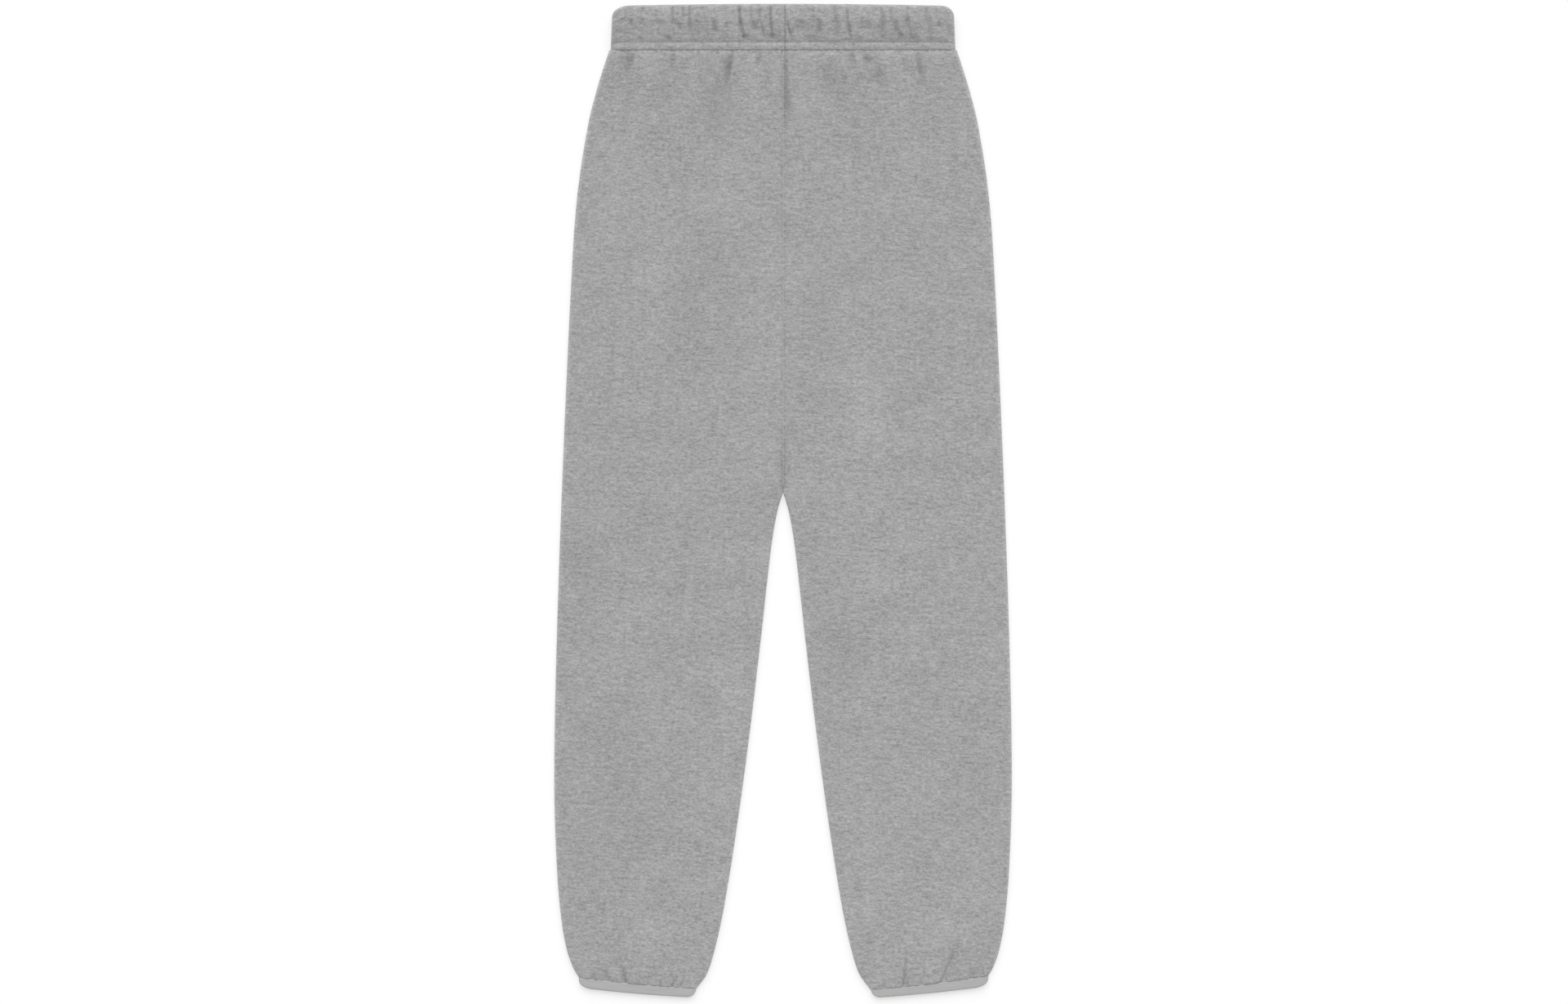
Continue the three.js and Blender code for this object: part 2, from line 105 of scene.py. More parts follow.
# The hem bindings: how wide each is at its side and inseam ends, its wall and its height
BINDING_WIDTHS = {-1: (10.8, 9.5), 1: (10.9, 8.6)}
BINDING_WALL = 2.1
BINDING_HIGH = 6.0
# How wide and how deep their lower corners are
BINDING_SIDE_CORNER = (14.0, 7.0)
BINDING_INSEAM_CORNER = (10.0, 9.0)
# How far their ends draw in, how round their folds are, and the thinned lower edge: by which share
# of the wall, from which share of the width, over which share
BINDING_SIDE_IN = 0.3
BINDING_INSEAM_IN = 0.8
BINDING_ROUND = 3.6
BINDING_THIN_EDGE = (0.4, 0.8, 0.2)

# Tables by distance below the top edge: down, then the half width of the outline
SIDE_LINE = np.array((
    (47, 178.5), (66, 184.8), (88, 191.5), (122, 200), (189, 210.5), (256, 216), (457, 225.5),
    (658, 232.6), (800, 235), (893, 232), (943, 227.3), (972, 221.8), (990, 215.2), (1000, 209),
))
INSEAM_LINE = np.array((
    (501, 0), (509, 2.6), (524, 6.6), (558, 12.2), (658, 23.5), (759, 35.6), (859, 49.5),
    (926, 60.4), (960, 67.5), (985, 74.2), (998, 79.6), (1010, 88.5), (1012, 90),
))
# down, how high the folded edge of the legs stands
LOFT = np.array((
    (47, 11.5), (56, 11.05), (75, 9.85), (125, 8.2), (210, 7.2), (400, 7.1), (800, 7.1),
    (950, 7.6), (985, 7.2), (1000, 6.4),
))
# down, how high the waistband stands, its wall
BAND_PROFILE = np.array((
    (0, 12.4, 5.6), (6, 13.3, 5.9), (12, 13.75, 6.1), (17, 13.9, 6.1), (21, 13.5, 6),
    (26, 12.7, 5.7), (32, 11.8, 5.4), (37, 11.32, 5), (39.7, 10.9, 4.7), (42, 11.15, 4.9),
    (44.5, 11.35, 5), (46.3, 11.18, 4.9), (47.3, 10.85, 4.8),
))

# Folds as soft ridges (rise above 0) or troughs along a line, like the solids' but finer. "steep"
# is the side that drops quickly: 1 towards +X, -1 towards -X, 0 neither.
Fold = namedtuple("Fold", "x down to_x to_down width rise steep")
GATHERS = (
    Fold(-151.5, 46, -166, 92, 13, -4.2, 1),
    Fold(-135, 48, -138, 112, 8, 1.2, 0),
    Fold(-112.5, 48, -114, 82, 3.4, -2.6, 0),
    Fold(-90, 48, -94, 124, 8, 1.1, 0),
    Fold(-51, 47, -62.5, 112, 6.5, -5.6, 1),
    Fold(-35, 48, -30, 130, 9, 1.1, 0),
    Fold(-22, 48, -29, 74, 2.4, -2.2, 0),
    Fold(-11.5, 48, -12, 64, 2.2, -1, 0),
    Fold(2.2, 30, 4.6, 180, 2.7, -2.4, 0),
    Fold(21, 48, 26, 92, 9, 0.8, 0),
    Fold(70.5, 48, 70, 72, 3.6, -2.4, 0),
    Fold(84, 50, 87, 76, 10, -3.2, -1),
    Fold(104, 48, 114, 92, 9, 1.1, 0),
    Fold(135.5, 47, 148, 112, 5.2, -4.4, -1),
    Fold(158, 48, 165, 84, 8, 0.8, 0),
)
HEM_GATHERS = (
    Fold(-196, 1001, -194, 992, 2.2, -0.9, 0),
    Fold(-182.4, 1003, -186, 980, 3.8, -1.4, 0),
    Fold(-178, 1003, -178, 992, 2.2, -1, 0),
    Fold(-159.8, 1007, -172, 964, 4.4, -2, 1),
    Fold(-150, 1006, -153, 972, 7, 0.7, 0),
    Fold(-138, 1006, -137, 996, 2.2, -0.8, 0),
    Fold(-114.6, 1009, -106.5, 994, 1.7, -1.8, 0),
    Fold(-106, 1009, -97.5, 994, 1.7, -1.4, 0),
    Fold(104, 1010, 106, 998, 2.4, -0.8, 0),
    Fold(123, 1011, 129, 958, 1.5, -1.9, 0),
    Fold(141.5, 1007, 142, 994, 2.4, -1.2, 0),
    Fold(150, 1006, 156, 968, 7, 0.8, 0),
    Fold(160.6, 1006, 186, 954, 4, -1, -1),
    Fold(193, 1002, 196, 984, 4, -1, 0),
)
SOFT_FOLDS = (
    Fold(3, 72, 7, 134, 4.5, -2.2, 0),
    Fold(-67, 58, -74, 150, 11, -1.5, 0),
    Fold(-57, 74, -57, 132, 5, -1.2, 0),
    Fold(-124, 66, -130, 128, 13, -1.2, 0),
    Fold(-112, 62, -108, 96, 7, -0.8, 0),
    Fold(-160, 62, -162, 96, 9, -0.8, 0),
    Fold(45, 54, 48, 104, 8, -2.1, 0),
    Fold(93, 56, 97, 98, 10, -1.8, 0),
    Fold(77, 72, 75, 90, 4, -1, 0),
    Fold(62, 70, 63, 86, 3.4, -1, 0),
    Fold(97, 68, 98, 86, 4, -0.8, 0),
    Fold(126, 58, 127, 78, 4, -0.9, 0),
    Fold(-112, 108, -108, 166, 8, 1, 0),
    Fold(-137, 62, -139, 112, 8, 1.1, 0),
    Fold(-32, 64, -27, 138, 10, 1.3, 0),
    Fold(-90, 50, -94, 116, 8, 0.6, 0),
    Fold(104, 42, 109, 84, 8, 1, 0),
    Fold(0, 88, 4, 142, 9, -0.9, 0),
    Fold(-48, 104, -50, 162, 8, -0.9, 0),
    Fold(-70, 98, -62, 168, 13, -1, 0),
    Fold(56, 76, 59, 134, 8, -1.2, 0),
    Fold(-202, 180, -192, 700, 40, -0.3, 0),
    Fold(-175, 690, -168, 970, 48, -0.9, 0),
    Fold(64, 640, 70, 760, 18, -0.7, 0),
    Fold(122, 540, 130, 650, 30, 0.5, 0),
    Fold(160, 860, 150, 1010, 48, 0.5, 0),
    Fold(-120, 130, -141, 420, 18, 1, 0),
    Fold(-74, 170, -124, 470, 22, -1, 0),
    Fold(-205, 500, -200, 680, 16, -0.9, 0),
    Fold(-92, 470, -96, 640, 17, -0.9, 0),
    Fold(-44, 600, -62, 860, 14, 0.8, 0),
    Fold(32, 230, 40, 440, 13, -0.8, 0),
    Fold(74, 310, 108, 560, 19, 1, 0),
    Fold(36, 590, 70, 730, 20, -0.9, 0),
    Fold(196, 700, 192, 850, 17, -0.8, 0),
    Fold(80, 790, 98, 960, 14, 0.8, 0),
    Fold(-172, 930, -170, 1000, 12, -1, 0),
    Fold(161, 1010, 185, 952, 4.4, -1.7, 0),
)
# The widths of a steep fold's two sides, as shares of its width
STEEP_SIDE = 0.3
GENTLE_SIDE = 1.1
# How strong a held fold is at its seam, and at which share of its length it is fully swollen
HELD_AT_WAIST = (0.04, 0.32)
HELD_AT_HEM = (0.6, 0.12)
# Held folds are sharper than their table says, and a crest stands beside a steep side: its share
# of the fold's depth and of its width
HELD_DEEPER = 1.05
HELD_TIGHTER = 0.75
CREST = 0.35
CREST_WIDTH = 0.6
# How much darker painted shade makes a held trough, for each millimetre of depth. Ridges get
# painted light in the same way. Ridges and free folds have this share of it.
TROUGH_SHADE = 0.12
FREE_SHADE = 0.6
# How much painted light brightens the folded edges of the legs
EDGE_PAINTED_LIGHT = 2.1
# How much painted shade darkens the crumpled lower part of the waistband, and where that sets in
LOWER_BAND_SHADE = (0.1, 14.0, 22.0)

# Creases of the gathered waistband, each between two distances below the top edge
Crease = namedtuple("Crease", "x top to_x low width depth")
BAND_CREASES = (
    Crease(-164.9, 12, -164.9, 21, 3.5, 1.1),
    Crease(-156.2, 13, -156.2, 25, 2.6, 1.6),
    Crease(-143.7, 2, -143.7, 9, 2, 1.1),
    Crease(-144.5, 13, -144.5, 24, 2.4, 1.6),
    Crease(-146, 33, -146, 41, 2.5, 1.6),
    Crease(-125.5, 15, -125.5, 25, 6, 1.3),
    Crease(-118.2, 31, -116.4, 43, 4, 2.3),
    Crease(-113, -2, -113, 26, 1.3, 1.4),
    Crease(-110.6, 14, -110.6, 25, 3, 1.6),
    Crease(-108, 17, -104, 30, 2.2, 1.4),
    Crease(-102.8, -2, -102.4, 22, 1.3, 1.1),
    Crease(-96, -4, -95.7, 24, 1.4, 1.4),
    Crease(-95.7, 12, -95.4, 33, 2, 1.6),
    Crease(-88.6, 8, -88.2, 38, 2.4, 0.9),
    Crease(-91.8, 35, -91.8, 41, 3, 0.96),
    Crease(-78.6, 10, -78.2, 38, 2, 0.7),
    Crease(-71.4, 13, -68.8, 35, 2.9, 2.1),
    Crease(-58, 18, -58, 27, 2.1, 1.3),
    Crease(-62, 32, -60, 43, 15, 0.4),
    Crease(-45.4, -3, -43.4, 26, 1.3, 2.1),
    Crease(-43.6, 14, -42.4, 31, 2.1, 2),
    Crease(-42.6, 24, -39.4, 40, 1.2, 1.5),
    Crease(-39.4, 29, -36, 43, 4.6, 1.8),
    Crease(-33, -2, -32.6, 24, 1.3, 1.3),
    Crease(-28.6, 16, -28.4, 31, 4.3, 2.1),
    Crease(-24.4, -2, -23.6, 24, 1.3, 1.4),
    Crease(-24, 14, -17.8, 41, 1.2, 1.3),
    Crease(-13.5, 29, -7, 44, 6.8, 2.2),
    Crease(-13.3, -3, -12.5, 26, 1.1, 1.7),
    Crease(-12.6, 14, -10.8, 40, 1.4, 2),
    Crease(2.6, 15, 10.8, 43, 1.2, 1.7),
    Crease(18.5, 15, 18.5, 31, 5.2, 1.5),
    Crease(28.5, 31, 31, 43, 5, 1.6),
    Crease(30.6, 0, 31, 24, 1.4, 0.8),
    Crease(36.8, 13, 37.8, 36, 2.6, 1.8),
    Crease(52.6, -2, 54, 24, 1.4, 1.1),
    Crease(54.8, 9, 55.6, 38, 2.5, 1.4),
    Crease(65, -2, 67, 25, 1.4, 1.6),
    Crease(66.7, 17, 68.4, 33, 1.8, 2),
    Crease(68.2, 26, 70, 42, 1.3, 1.6),
    Crease(79.5, 32, 79.5, 43, 3, 1.2),
    Crease(83, 15, 83, 31, 6.5, 1.3),
    Crease(88.4, 14, 88.6, 38, 2, 0.8),
    Crease(104, 32, 104, 43, 9, 0.3),
    Crease(100.8, -2, 100.8, 24, 1.3, 1.3),
    Crease(103.2, 7, 103, 26, 1.8, 1.5),
    Crease(101.6, 15, 101.8, 41, 3.2, 1.6),
    Crease(110.3, -2, 110.8, 22, 1.3, 1.4),
    Crease(113.4, 12, 118, 34, 2.7, 1.9),
    Crease(119.2, 27, 121.6, 43, 2.9, 1.8),
    Crease(127.6, -3, 127.6, 20, 1.4, 1.1),
    Crease(127.4, 10, 128, 27, 2.3, 1.7),
    Crease(128.6, 20, 132.6, 40, 1.4, 0.8),
    Crease(133.6, 31, 137, 44, 4.4, 1.9),
    Crease(146.6, -2, 147.2, 24, 1.5, 1),
    Crease(150.8, 8, 151, 38, 2.3, 1.2),
    Crease(151.9, 33, 151.9, 42, 3, 1.4),
    Crease(159.8, 16, 159.8, 26, 2.5, 1.3),
    Crease(171.6, 17, 171.6, 39, 3, 1.2),
)
# Painted shade in the waistband's creases, for each millimetre of their depth
CREASE_SHADE = 1.2
# Which share of the creases' depth the stitching takes, and where that sets in
STITCHED_FROM = 34.0
STITCHED_TO = 39.0
STITCHED_FADE = 0.55
# The waistband's faint ribs: how high they are, their middle, reach and pitch
BAND_RIBS = (0.3, 14.0, 13.0, 6.2)
# The waistband's own seam at the centre back
BAND_SEAM_AT = 2.1
BAND_SEAM_DEPTH = 0.7
BAND_SEAM_WIDTH = 1.0
# Painted shade along that seam
BAND_SEAM_SHADE = 1.7

# The two rows of stitching round the waistband: distance below the top edge, how deep each sinks
STITCH_ROWS = ((39.6, 0.6), (46.7, 0.2))
STITCH_GROOVE = 0.85
# How far the middle of a stitch lies above its groove, and how thick it is on the hidden side
STITCH_ABOVE = 0.05
HIDDEN_STITCH = 0.24
# How round a seam's edges are, and the line of painted shade above the hem's join: its width and
# strength
SEAM_ROLL = 0.25
EDGE_LINE = 0.8
JOIN_LINE_SHADE = 1.5
# How far the back dips towards the waist seam
SEAM_DIP = 1.2
SEAM_DIP_REACH = 3.6
# Puckers at the seams: how far they reach, how high they are, and their pitch at the waist, at the
# hems and at the stitching, where they are this share as high
PUCKER_REACH = 11.0
PUCKER_RISE = 0.35
WAIST_PUCKERS = 6.5
HEM_PUCKERS = 8.5
STITCH_PUCKERS = 5.5
STITCH_PUCKER_SHARE = 0.7
# How uneven a ripple is: how far and how often its places sway, then its height, and from where
RIPPLE_SWAY = (0.9, 1.7)
RIPPLE_SWELL = (0.4, 0.83, 1.3)
# The seat seam lies between two fine lines where its allowances are pressed open
SEAT_LINES = (-1.1, 1.9)
SEAT_LINE_WIDTH = 0.7
SEAT_LINE_DEPTH = 0.2
# How much painted shade darkens them and how much more near the crotch, and how far above it they
# fade
SEAT_LINE_SHADE = (0.9, 1.2)
SEAT_LINE_FADE = 6.0
# The seam sinks near the crotch, with painted shade as strong as its depth: how deep, how wide,
# and from where above it to where
CROTCH_VALLEY = 1.2
CROTCH_VALLEY_WIDTH = 5.0
CROTCH_VALLEY_SPAN = (70.0, 15.0)

# The thinnest that cloth gets under a deep trough
THINNEST = 1.3

# How finely the cloth is drawn: the rows of each stretch of the legs, with their spacing
LEG_STRETCHES = (
    (BAND_DOWN + SEAM_GAP, 64, 0.9),
    (64, 180, 1.8),
    (180, 480, 5),
    (480, 520, 2),
    (520, 940, 6),
    (940, HEM_DOWN - SEAM_GAP, 1.3),
)
# An inner face keeps one row in so many
INNER_STEP = 6
# Columns across a back leg, a folded edge, a front panel and a folded side of the waistband
FLAT_COLUMNS = 170
TURN_COLUMNS = 9
FRONT_COLUMNS = 24
BAND_TURNS = 28
# The spacing of the waistband's columns and rows, the rows of its top fold and the first one's
# angle, and the rows of its inner face and how far below that fold they start
BAND_COLUMN = 0.6
BAND_ROW = 0.8
LIP_ROWS = 7
LIP_FROM = 0.12
BAND_INNER_ROWS = 9
BAND_INNER_FROM = 2
# The rows of a hem binding as shares of its width, each stretch from, to and how many, and the
# columns across one of its faces
BINDING_ROWS = ((0, 0.85, 9), (0.9, 1, 5))
BINDING_COLUMNS = 60
# How far the even rows keep from a seam, how far from it its own rows lie, how far from the seat
# seam its own columns do, and about how wide the flat of a leg is
SEAM_CLEAR = 2
NEAR_SEAM = (0, 0.15, 0.4, 0.8, 1.3)
NEAR_SEAT_SEAM = (0.2, 0.5, 0.8, 1.1, 1.4, 1.7, 2, 2.4, 2.9, 3.5)
FLAT_ACROSS = 200

# Points closer than this many metres are one
MERGE = 1e-7

# The melange's patterns: the length and height of a streak in metres, its detail, its weight
MELANGE = (
    (0.01, 0.0034, 3, 0.9),
    (0.0032, 0.0018, 2, 1.1),
    (0.06, 0.03, 2, 0.3),
)
MELANGE_ROUGHNESS = 0.6
# The knit's loops, drawn soft because they are finer than the render, and the lines of the tape:
# their length and height in metres, their detail
KNIT = (0.0012, 0.0009, 1)
TAPE_LINES = (0.03, 0.0012, 1)
# How dark painted shade gets, as a share of the dark fibres, and the tape's darker and paler
# lines beside its colour
PAINTED_SHADE_TONE = 0.3
TAPE_TONES = (0.9, 1.1)
# Where each piece lies on the endless cloth, in metres, so that none repeats another, and how far
# a leg's grain is turned
BACKS_ON_CLOTH = (3, 2)
FRONTS_ON_CLOTH = (6, 5)
BAND_ON_CLOTH = (9, 8)
LEGS_APART = 0.7
LEG_GRAIN = math.radians(3.2)

# The photo's frame on the surface, its middle and its height above the surface, the camera's
# sensor, how far it sees, and half the table's width, all in metres
PHOTO_WIDTH = 1.6099
PHOTO_MIDDLE = (0.001, -0.001)
PHOTO_PLANE = 0.005
SENSOR = 0.036
SIGHT = 100
TABLE_HALF = 4
# How wide the soft light is in the sky and how far it leans, in degrees
LIGHT_WIDE = 70
LIGHT_LEANS = -46


def linear(hex_colour):
    """The linear colour of an sRGB hex value."""
    channels = [(hex_colour >> shift & 255) / 255 for shift in (16, 8, 0)]
    return [c / 12.92 if c <= 0.04045 else ((c + 0.055) / 1.055) ** 2.4 for c in channels]


def smooth(value, low, high):
    """A smooth step from 0 at low to 1 at high."""
    t = np.clip((value - low) / (high - low), 0, 1)
    return t * t * (3 - 2 * t)


def bump_at(value, middle, width):
    """A soft bump of height 1 round the middle."""
    return np.exp(-(((value - middle) / width) ** 2))


def along(table, down, column=1):
    """A smooth value from a table, by distance below the top edge."""
    at, value = table[:, 0], table[:, column]
    slope = np.empty(len(at))
    slope[1:-1] = (value[2:] - value[:-2]) / (at[2:] - at[:-2])
    slope[0] = (value[1] - value[0]) / (at[1] - at[0])
    slope[-1] = (value[-1] - value[-2]) / (at[-1] - at[-2])
    d = np.clip(down, at[0], at[-1])
    i = np.clip(np.searchsorted(at, d, side="left") - 1, 0, len(at) - 2)
    span = at[i + 1] - at[i]
    t = (d - at[i]) / span
    rest = 1 - t
    return (
        value[i] * (1 + 2 * t) * rest * rest
        + slope[i] * span * t * rest * rest
        + value[i + 1] * (3 - 2 * t) * t * t
        - slope[i + 1] * span * rest * t * t
    )


def fold_effect(fold, held, x, down):
    """The height that one fold adds at points of the back, and its painted shade, with painted
    light below 0.
    """
    run_x, run_down = fold.to_x - fold.x, fold.to_down - fold.down
    length = math.hypot(run_x, run_down)
    t = np.clip(((x - fold.x) * run_x + (down - fold.down) * run_down) / length**2, 0, 1)
    aside = ((x - fold.x) * run_down - (down - fold.down) * run_x) / length
    width, rise = fold.width, fold.rise
    if held:
        at_seam, swollen = held
        swell = at_seam + (1 - at_seam) * smooth(t, 0, swollen)
        share = swell * np.cos(t * math.pi / 2) ** 2
        width, rise = width * HELD_TIGHTER, rise * HELD_DEEPER
    else:
        share = np.sin(t * math.pi) ** 2
    # The second value is painted shade in a trough, and painted light on a ridge (below 0)
    if not fold.steep:
        dip = bump_at(aside, 0, width) * share
        return rise * dip, -rise * dip * (1 if held and rise < 0 else FREE_SHADE)
    to_steep = aside * fold.steep * math.copysign(1, run_down)
    dip = bump_at(aside, 0, width * np.where(to_steep > 0, STEEP_SIDE, GENTLE_SIDE))
    crest = bump_at(to_steep / width, 1, CREST_WIDTH)
    return rise * share * (dip - CREST * crest), -rise * dip**2 * share**2


def ripple(x, pitch):
    """An uneven ripple between -1 and 1, with about that pitch."""
    sway, sway_rate = RIPPLE_SWAY
    swell, swell_rate, swell_from = RIPPLE_SWELL
    wave = np.sin(x * 2 * math.pi / pitch + sway * np.sin(x / pitch * sway_rate))
    return wave * (1 - swell + swell * np.sin(x / pitch * swell_rate + swell_from))


def back_relief(x, down):
    """The height and painted shade of all the folds of the back, and the puckers at its seams."""
    height, painted_shading = 0 * x, 0 * x
    for folds, held in (
        (GATHERS, HELD_AT_WAIST),
        (HEM_GATHERS, HELD_AT_HEM),
        (SOFT_FOLDS, None),
    ):
        for fold in folds:
            added, painted_here = fold_effect(fold, held, x, down)
            height, painted_shading = height + added, painted_shading + painted_here
    puckers = bump_at(down, BAND_DOWN, PUCKER_REACH) * ripple(x, WAIST_PUCKERS)
    puckers = puckers + bump_at(down, HEM_DOWN, PUCKER_REACH) * ripple(x, HEM_PUCKERS)
    height = height + PUCKER_RISE * puckers - SEAM_DIP * bump_at(down, BAND_DOWN, SEAM_DIP_REACH)
    in_seat = 1 - smooth(down, CROTCH_DOWN - SEAT_LINE_FADE, CROTCH_DOWN)
    lines = sum(bump_at(x, line, SEAT_LINE_WIDTH) for line in SEAT_LINES) * in_seat
    near_crotch = smooth(down, *(CROTCH_DOWN - far for far in CROTCH_VALLEY_SPAN)) * in_seat
    valley = CROTCH_VALLEY * bump_at(x, 0, CROTCH_VALLEY_WIDTH) * near_crotch
    height = height - SEAT_LINE_DEPTH * lines - valley
    everywhere, more_near = SEAT_LINE_SHADE
    # Painted shade along the seat seam's two lines and in the crotch valley, as deep as the valley
    return height, painted_shading + (everywhere + more_near * near_crotch) * lines + valley


def rolled(distance):
    """How far cloth rolls down into a seam, by its distance from the seam."""
    inside = np.clip(1 - distance / SEAM_ROLL, 0, 1)
    return SEAM_ROLL * (1 - np.sqrt(1 - inside**2))


def leg_rows(is_inner):
    """Rows of a leg panel, by distance below the top edge at its outer side."""
    rows = [np.arange(low, high - step / 2, step) for low, high, step in LEG_STRETCHES]
    near = np.array(NEAR_SEAM)
    start, end = LEG_STRETCHES[0][0], LEG_STRETCHES[-1][1]
    middle = np.concatenate(rows)
    middle = middle[(middle > start + SEAM_CLEAR) & (middle < end - SEAM_CLEAR)]
    if is_inner:
        return np.concatenate(((start,), middle[::INNER_STEP], (end,)))
    return np.concatenate((start + near, middle, end - near[::-1]))


def leg_columns(flat_count):
    """Columns across a leg panel: the zone (0 inseam turn, 1 flat, 2 side turn) and its share."""
    turn = np.linspace(0, 1, TURN_COLUMNS, endpoint=False)
    near = np.array(NEAR_SEAT_SEAM) / FLAT_ACROSS
    even = np.linspace(0, 1, flat_count)
    flat = np.concatenate(((0,), near, even[even > near[-1] + 0.5 / flat_count]))
    outer = np.linspace(0, 1, TURN_COLUMNS + 1)[1:]
    zones = np.concatenate((np.zeros(len(turn)), np.ones(len(flat)), np.full(len(outer), 2)))
    return zones, np.concatenate((turn, flat, outer))


def hem_shift(side_of, across):
    """How far below HEM_DOWN the hem's join lies, from the inseam (0) to the side (1)."""
    at_side, at_inseam = HEM_SHIFTS[side_of]
    return at_inseam + (at_side - at_inseam) * across + 4 * HEM_BOW * across * (1 - across)


def leg_grid(side_of, face, is_inner, cloth, flat_count):
    """Points of a leg panel's outer or inner face, in millimetres, row by row, and the painted
    shade there, with painted light below 0."""
    depth = cloth if is_inner else 0
    zones, shares = leg_columns(flat_count)
    row = leg_rows(is_inner)[:, None]
    slant = smooth(row, HEM_SLANT_FROM, HEM_DOWN)
    start = math.pi / 2 * (1 - smooth(row, CROTCH_DOWN - CROTCH_DIP, CROTCH_DOWN))
    inseam = SEAM_GAP / 2 + along(INSEAM_LINE, row + slant * hem_shift(side_of, 0))
    side = along(SIDE_LINE, row + slant * hem_shift(side_of, 1))
    flat_from = inseam + EDGE_ROUND * np.cos(start)
    flat_to = side - EDGE_ROUND
    angle = np.select(
        (zones == 0, zones == 2),
        (start + shares * (math.pi / 2 - start), (1 - shares) * math.pi / 2 + 0 * row),
        math.pi / 2,
    )
    turning_in = np.cos(start) - np.cos(angle)
    x = np.select(
        (zones == 0, zones == 2),
        (
            inseam + depth * np.cos(start) + (EDGE_ROUND - depth) * turning_in,
            flat_to + (EDGE_ROUND - depth) * np.cos(angle),
        ),
        flat_from + shares * (flat_to - flat_from),
    )
    across = np.clip((x - inseam) / (side - inseam), 0, 1)
    down = row + slant * hem_shift(side_of, across)
    base = cloth + (FRONT_GAP if face > 0 else 0)
    reach = along(LOFT, row) - base if face > 0 else base
    z = base + face * (reach - depth) * np.sin(angle)
    painted_shading = 0 * z
    if face > 0:
        crotch = np.hypot(x, np.maximum(CROTCH_DOWN - down, 0))
        edge = np.minimum(side - x, np.where(down < CROTCH_DOWN, crotch, x - inseam))
        sag = MIDDLE_SAG * smooth(row, *SAG_STARTS) * (1 - smooth(row, *SAG_ENDS))
        flatness = np.sin(angle) ** 2
        relief, painted_shading = back_relief(side_of * x, down)
        z = z + flatness * (relief - sag * smooth(edge, *SAG_ASIDE))
        lowest = base + THINNEST * (not is_inner) * np.sin(angle)
        z = np.maximum(z, lowest)
        if not is_inner:
            z = z - np.sin(angle) * rolled(row - row[0])
    # Painted shade along the hem's join, and painted light on the folded edges, more as they turn
    # away
    painted_shading = painted_shading + JOIN_LINE_SHADE * bump_at(row, row[-1], EDGE_LINE)
    painted_shading = painted_shading * np.sin(angle) - EDGE_PAINTED_LIGHT * np.cos(angle)
    return (side_of * x, TOP - down + 0 * x, z), painted_shading


def shell(name, outer, inner, painted_shading=None, closed=False, offset=(0, 0), turn=0):
    """A wall from grids of points in millimetres, drawn as one grid that runs down its outer face,
    up its inner one and back to the start. Its UV map in metres follows the cloth, turned by the
    grain's angle, and an attribute keeps the outer face's painted shade, with painted light below
    0."""
    wrapped = [np.concatenate((out, back[::-1], out[:1])) for out, back in zip(outer, inner)]
    points = np.stack(wrapped, axis=-1) * MM
    rows, columns = points.shape[:2]
    middle = columns // 2
    steps_across = np.linalg.norm(np.diff(points, axis=1), axis=2)
    steps_down = np.linalg.norm(np.diff(points[:, middle], axis=0), axis=1)
    u = np.concatenate((np.zeros((rows, 1)), np.cumsum(steps_across, axis=1)), axis=1)
    u = u - u[:, middle : middle + 1]
    v = -np.concatenate(((0,), np.cumsum(steps_down)))[:, None]
    turned_u = u * math.cos(turn) - v * math.sin(turn) + offset[0]
    turned_v = u * math.sin(turn) + v * math.cos(turn) + offset[1]
    bm = bmesh.new()
    bmesh.ops.create_grid(bm, x_segments=columns - 1, y_segments=rows - 1, size=1)
    bm.loops.layers.uv.new("UVMap")
    mesh = bpy.data.meshes.new(name)
    bm.to_mesh(mesh)
    flat_places = np.empty(len(mesh.vertices) * 3, dtype=np.float32)
    mesh.vertices.foreach_get("co", flat_places)
    flat_places = flat_places.reshape(-1, 3)
    column = np.rint((flat_places[:, 0] + 1) / 2 * (columns - 1)).astype(int)
    row = np.rint((1 - flat_places[:, 1]) / 2 * (rows - 1)).astype(int)
    mesh.vertices.foreach_set("co", points[row, column].astype(np.float32).ravel())
    corner = np.empty(len(mesh.loops), dtype=np.int32)
    mesh.loops.foreach_get("vertex_index", corner)
    uv = np.stack((turned_u[row, column], turned_v[row, column]), axis=-1)[corner]
    mesh.uv_layers[0].data.foreach_set("uv", uv.astype(np.float32).ravel())
    marked = np.zeros((rows, columns), dtype=np.float32)
    if painted_shading is not None:
        marked[: len(painted_shading)] = painted_shading
        marked[-1] = painted_shading[0]
    # The outer face's painted shade, with painted light below 0, for the material to read
    layer = mesh.attributes.new("painted_shading", "FLOAT", "POINT")
    layer.data.foreach_set("value", marked[row, column])
    bm.clear()
    bm.from_mesh(mesh)
    bpy.data.meshes.remove(mesh)
    if not closed:
        index = np.empty((rows, columns), dtype=int)
        index[row, column] = np.arange(len(row))
        bm.verts.ensure_lookup_table()
        fold = len(outer[0]) - 1
        for side in (0, columns - 1):
            at = [bm.verts[i] for i in index[:, side]]
            rim = [bm.edges.get(at[i : i + 2]) for i in range(rows - 2) if i != fold]
            bmesh.ops.bridge_loops(bm, edges=rim)
    bmesh.ops.remove_doubles(bm, verts=bm.verts, dist=MERGE)
    bmesh.ops.recalc_face_normals(bm, faces=bm.faces)
    return finished(name, bm)


def finished(name, bm):
    """The smooth-shaded object of a bmesh, linked to the scene."""
    for face in bm.faces:
        face.smooth = True
    mesh = bpy.data.meshes.new(name)
    bm.to_mesh(mesh)
    bm.free()
    made = bpy.data.objects.new(name, mesh)
    bpy.context.scene.collection.objects.link(made)
    return made


def corner_drop(inside, wide, deep):
    """How far off its straight line an edge with a round corner lies, inside its end."""
    short = np.clip(1 - inside / wide, 0, 1)
    return deep * (1 - np.sqrt(1 - short**2))


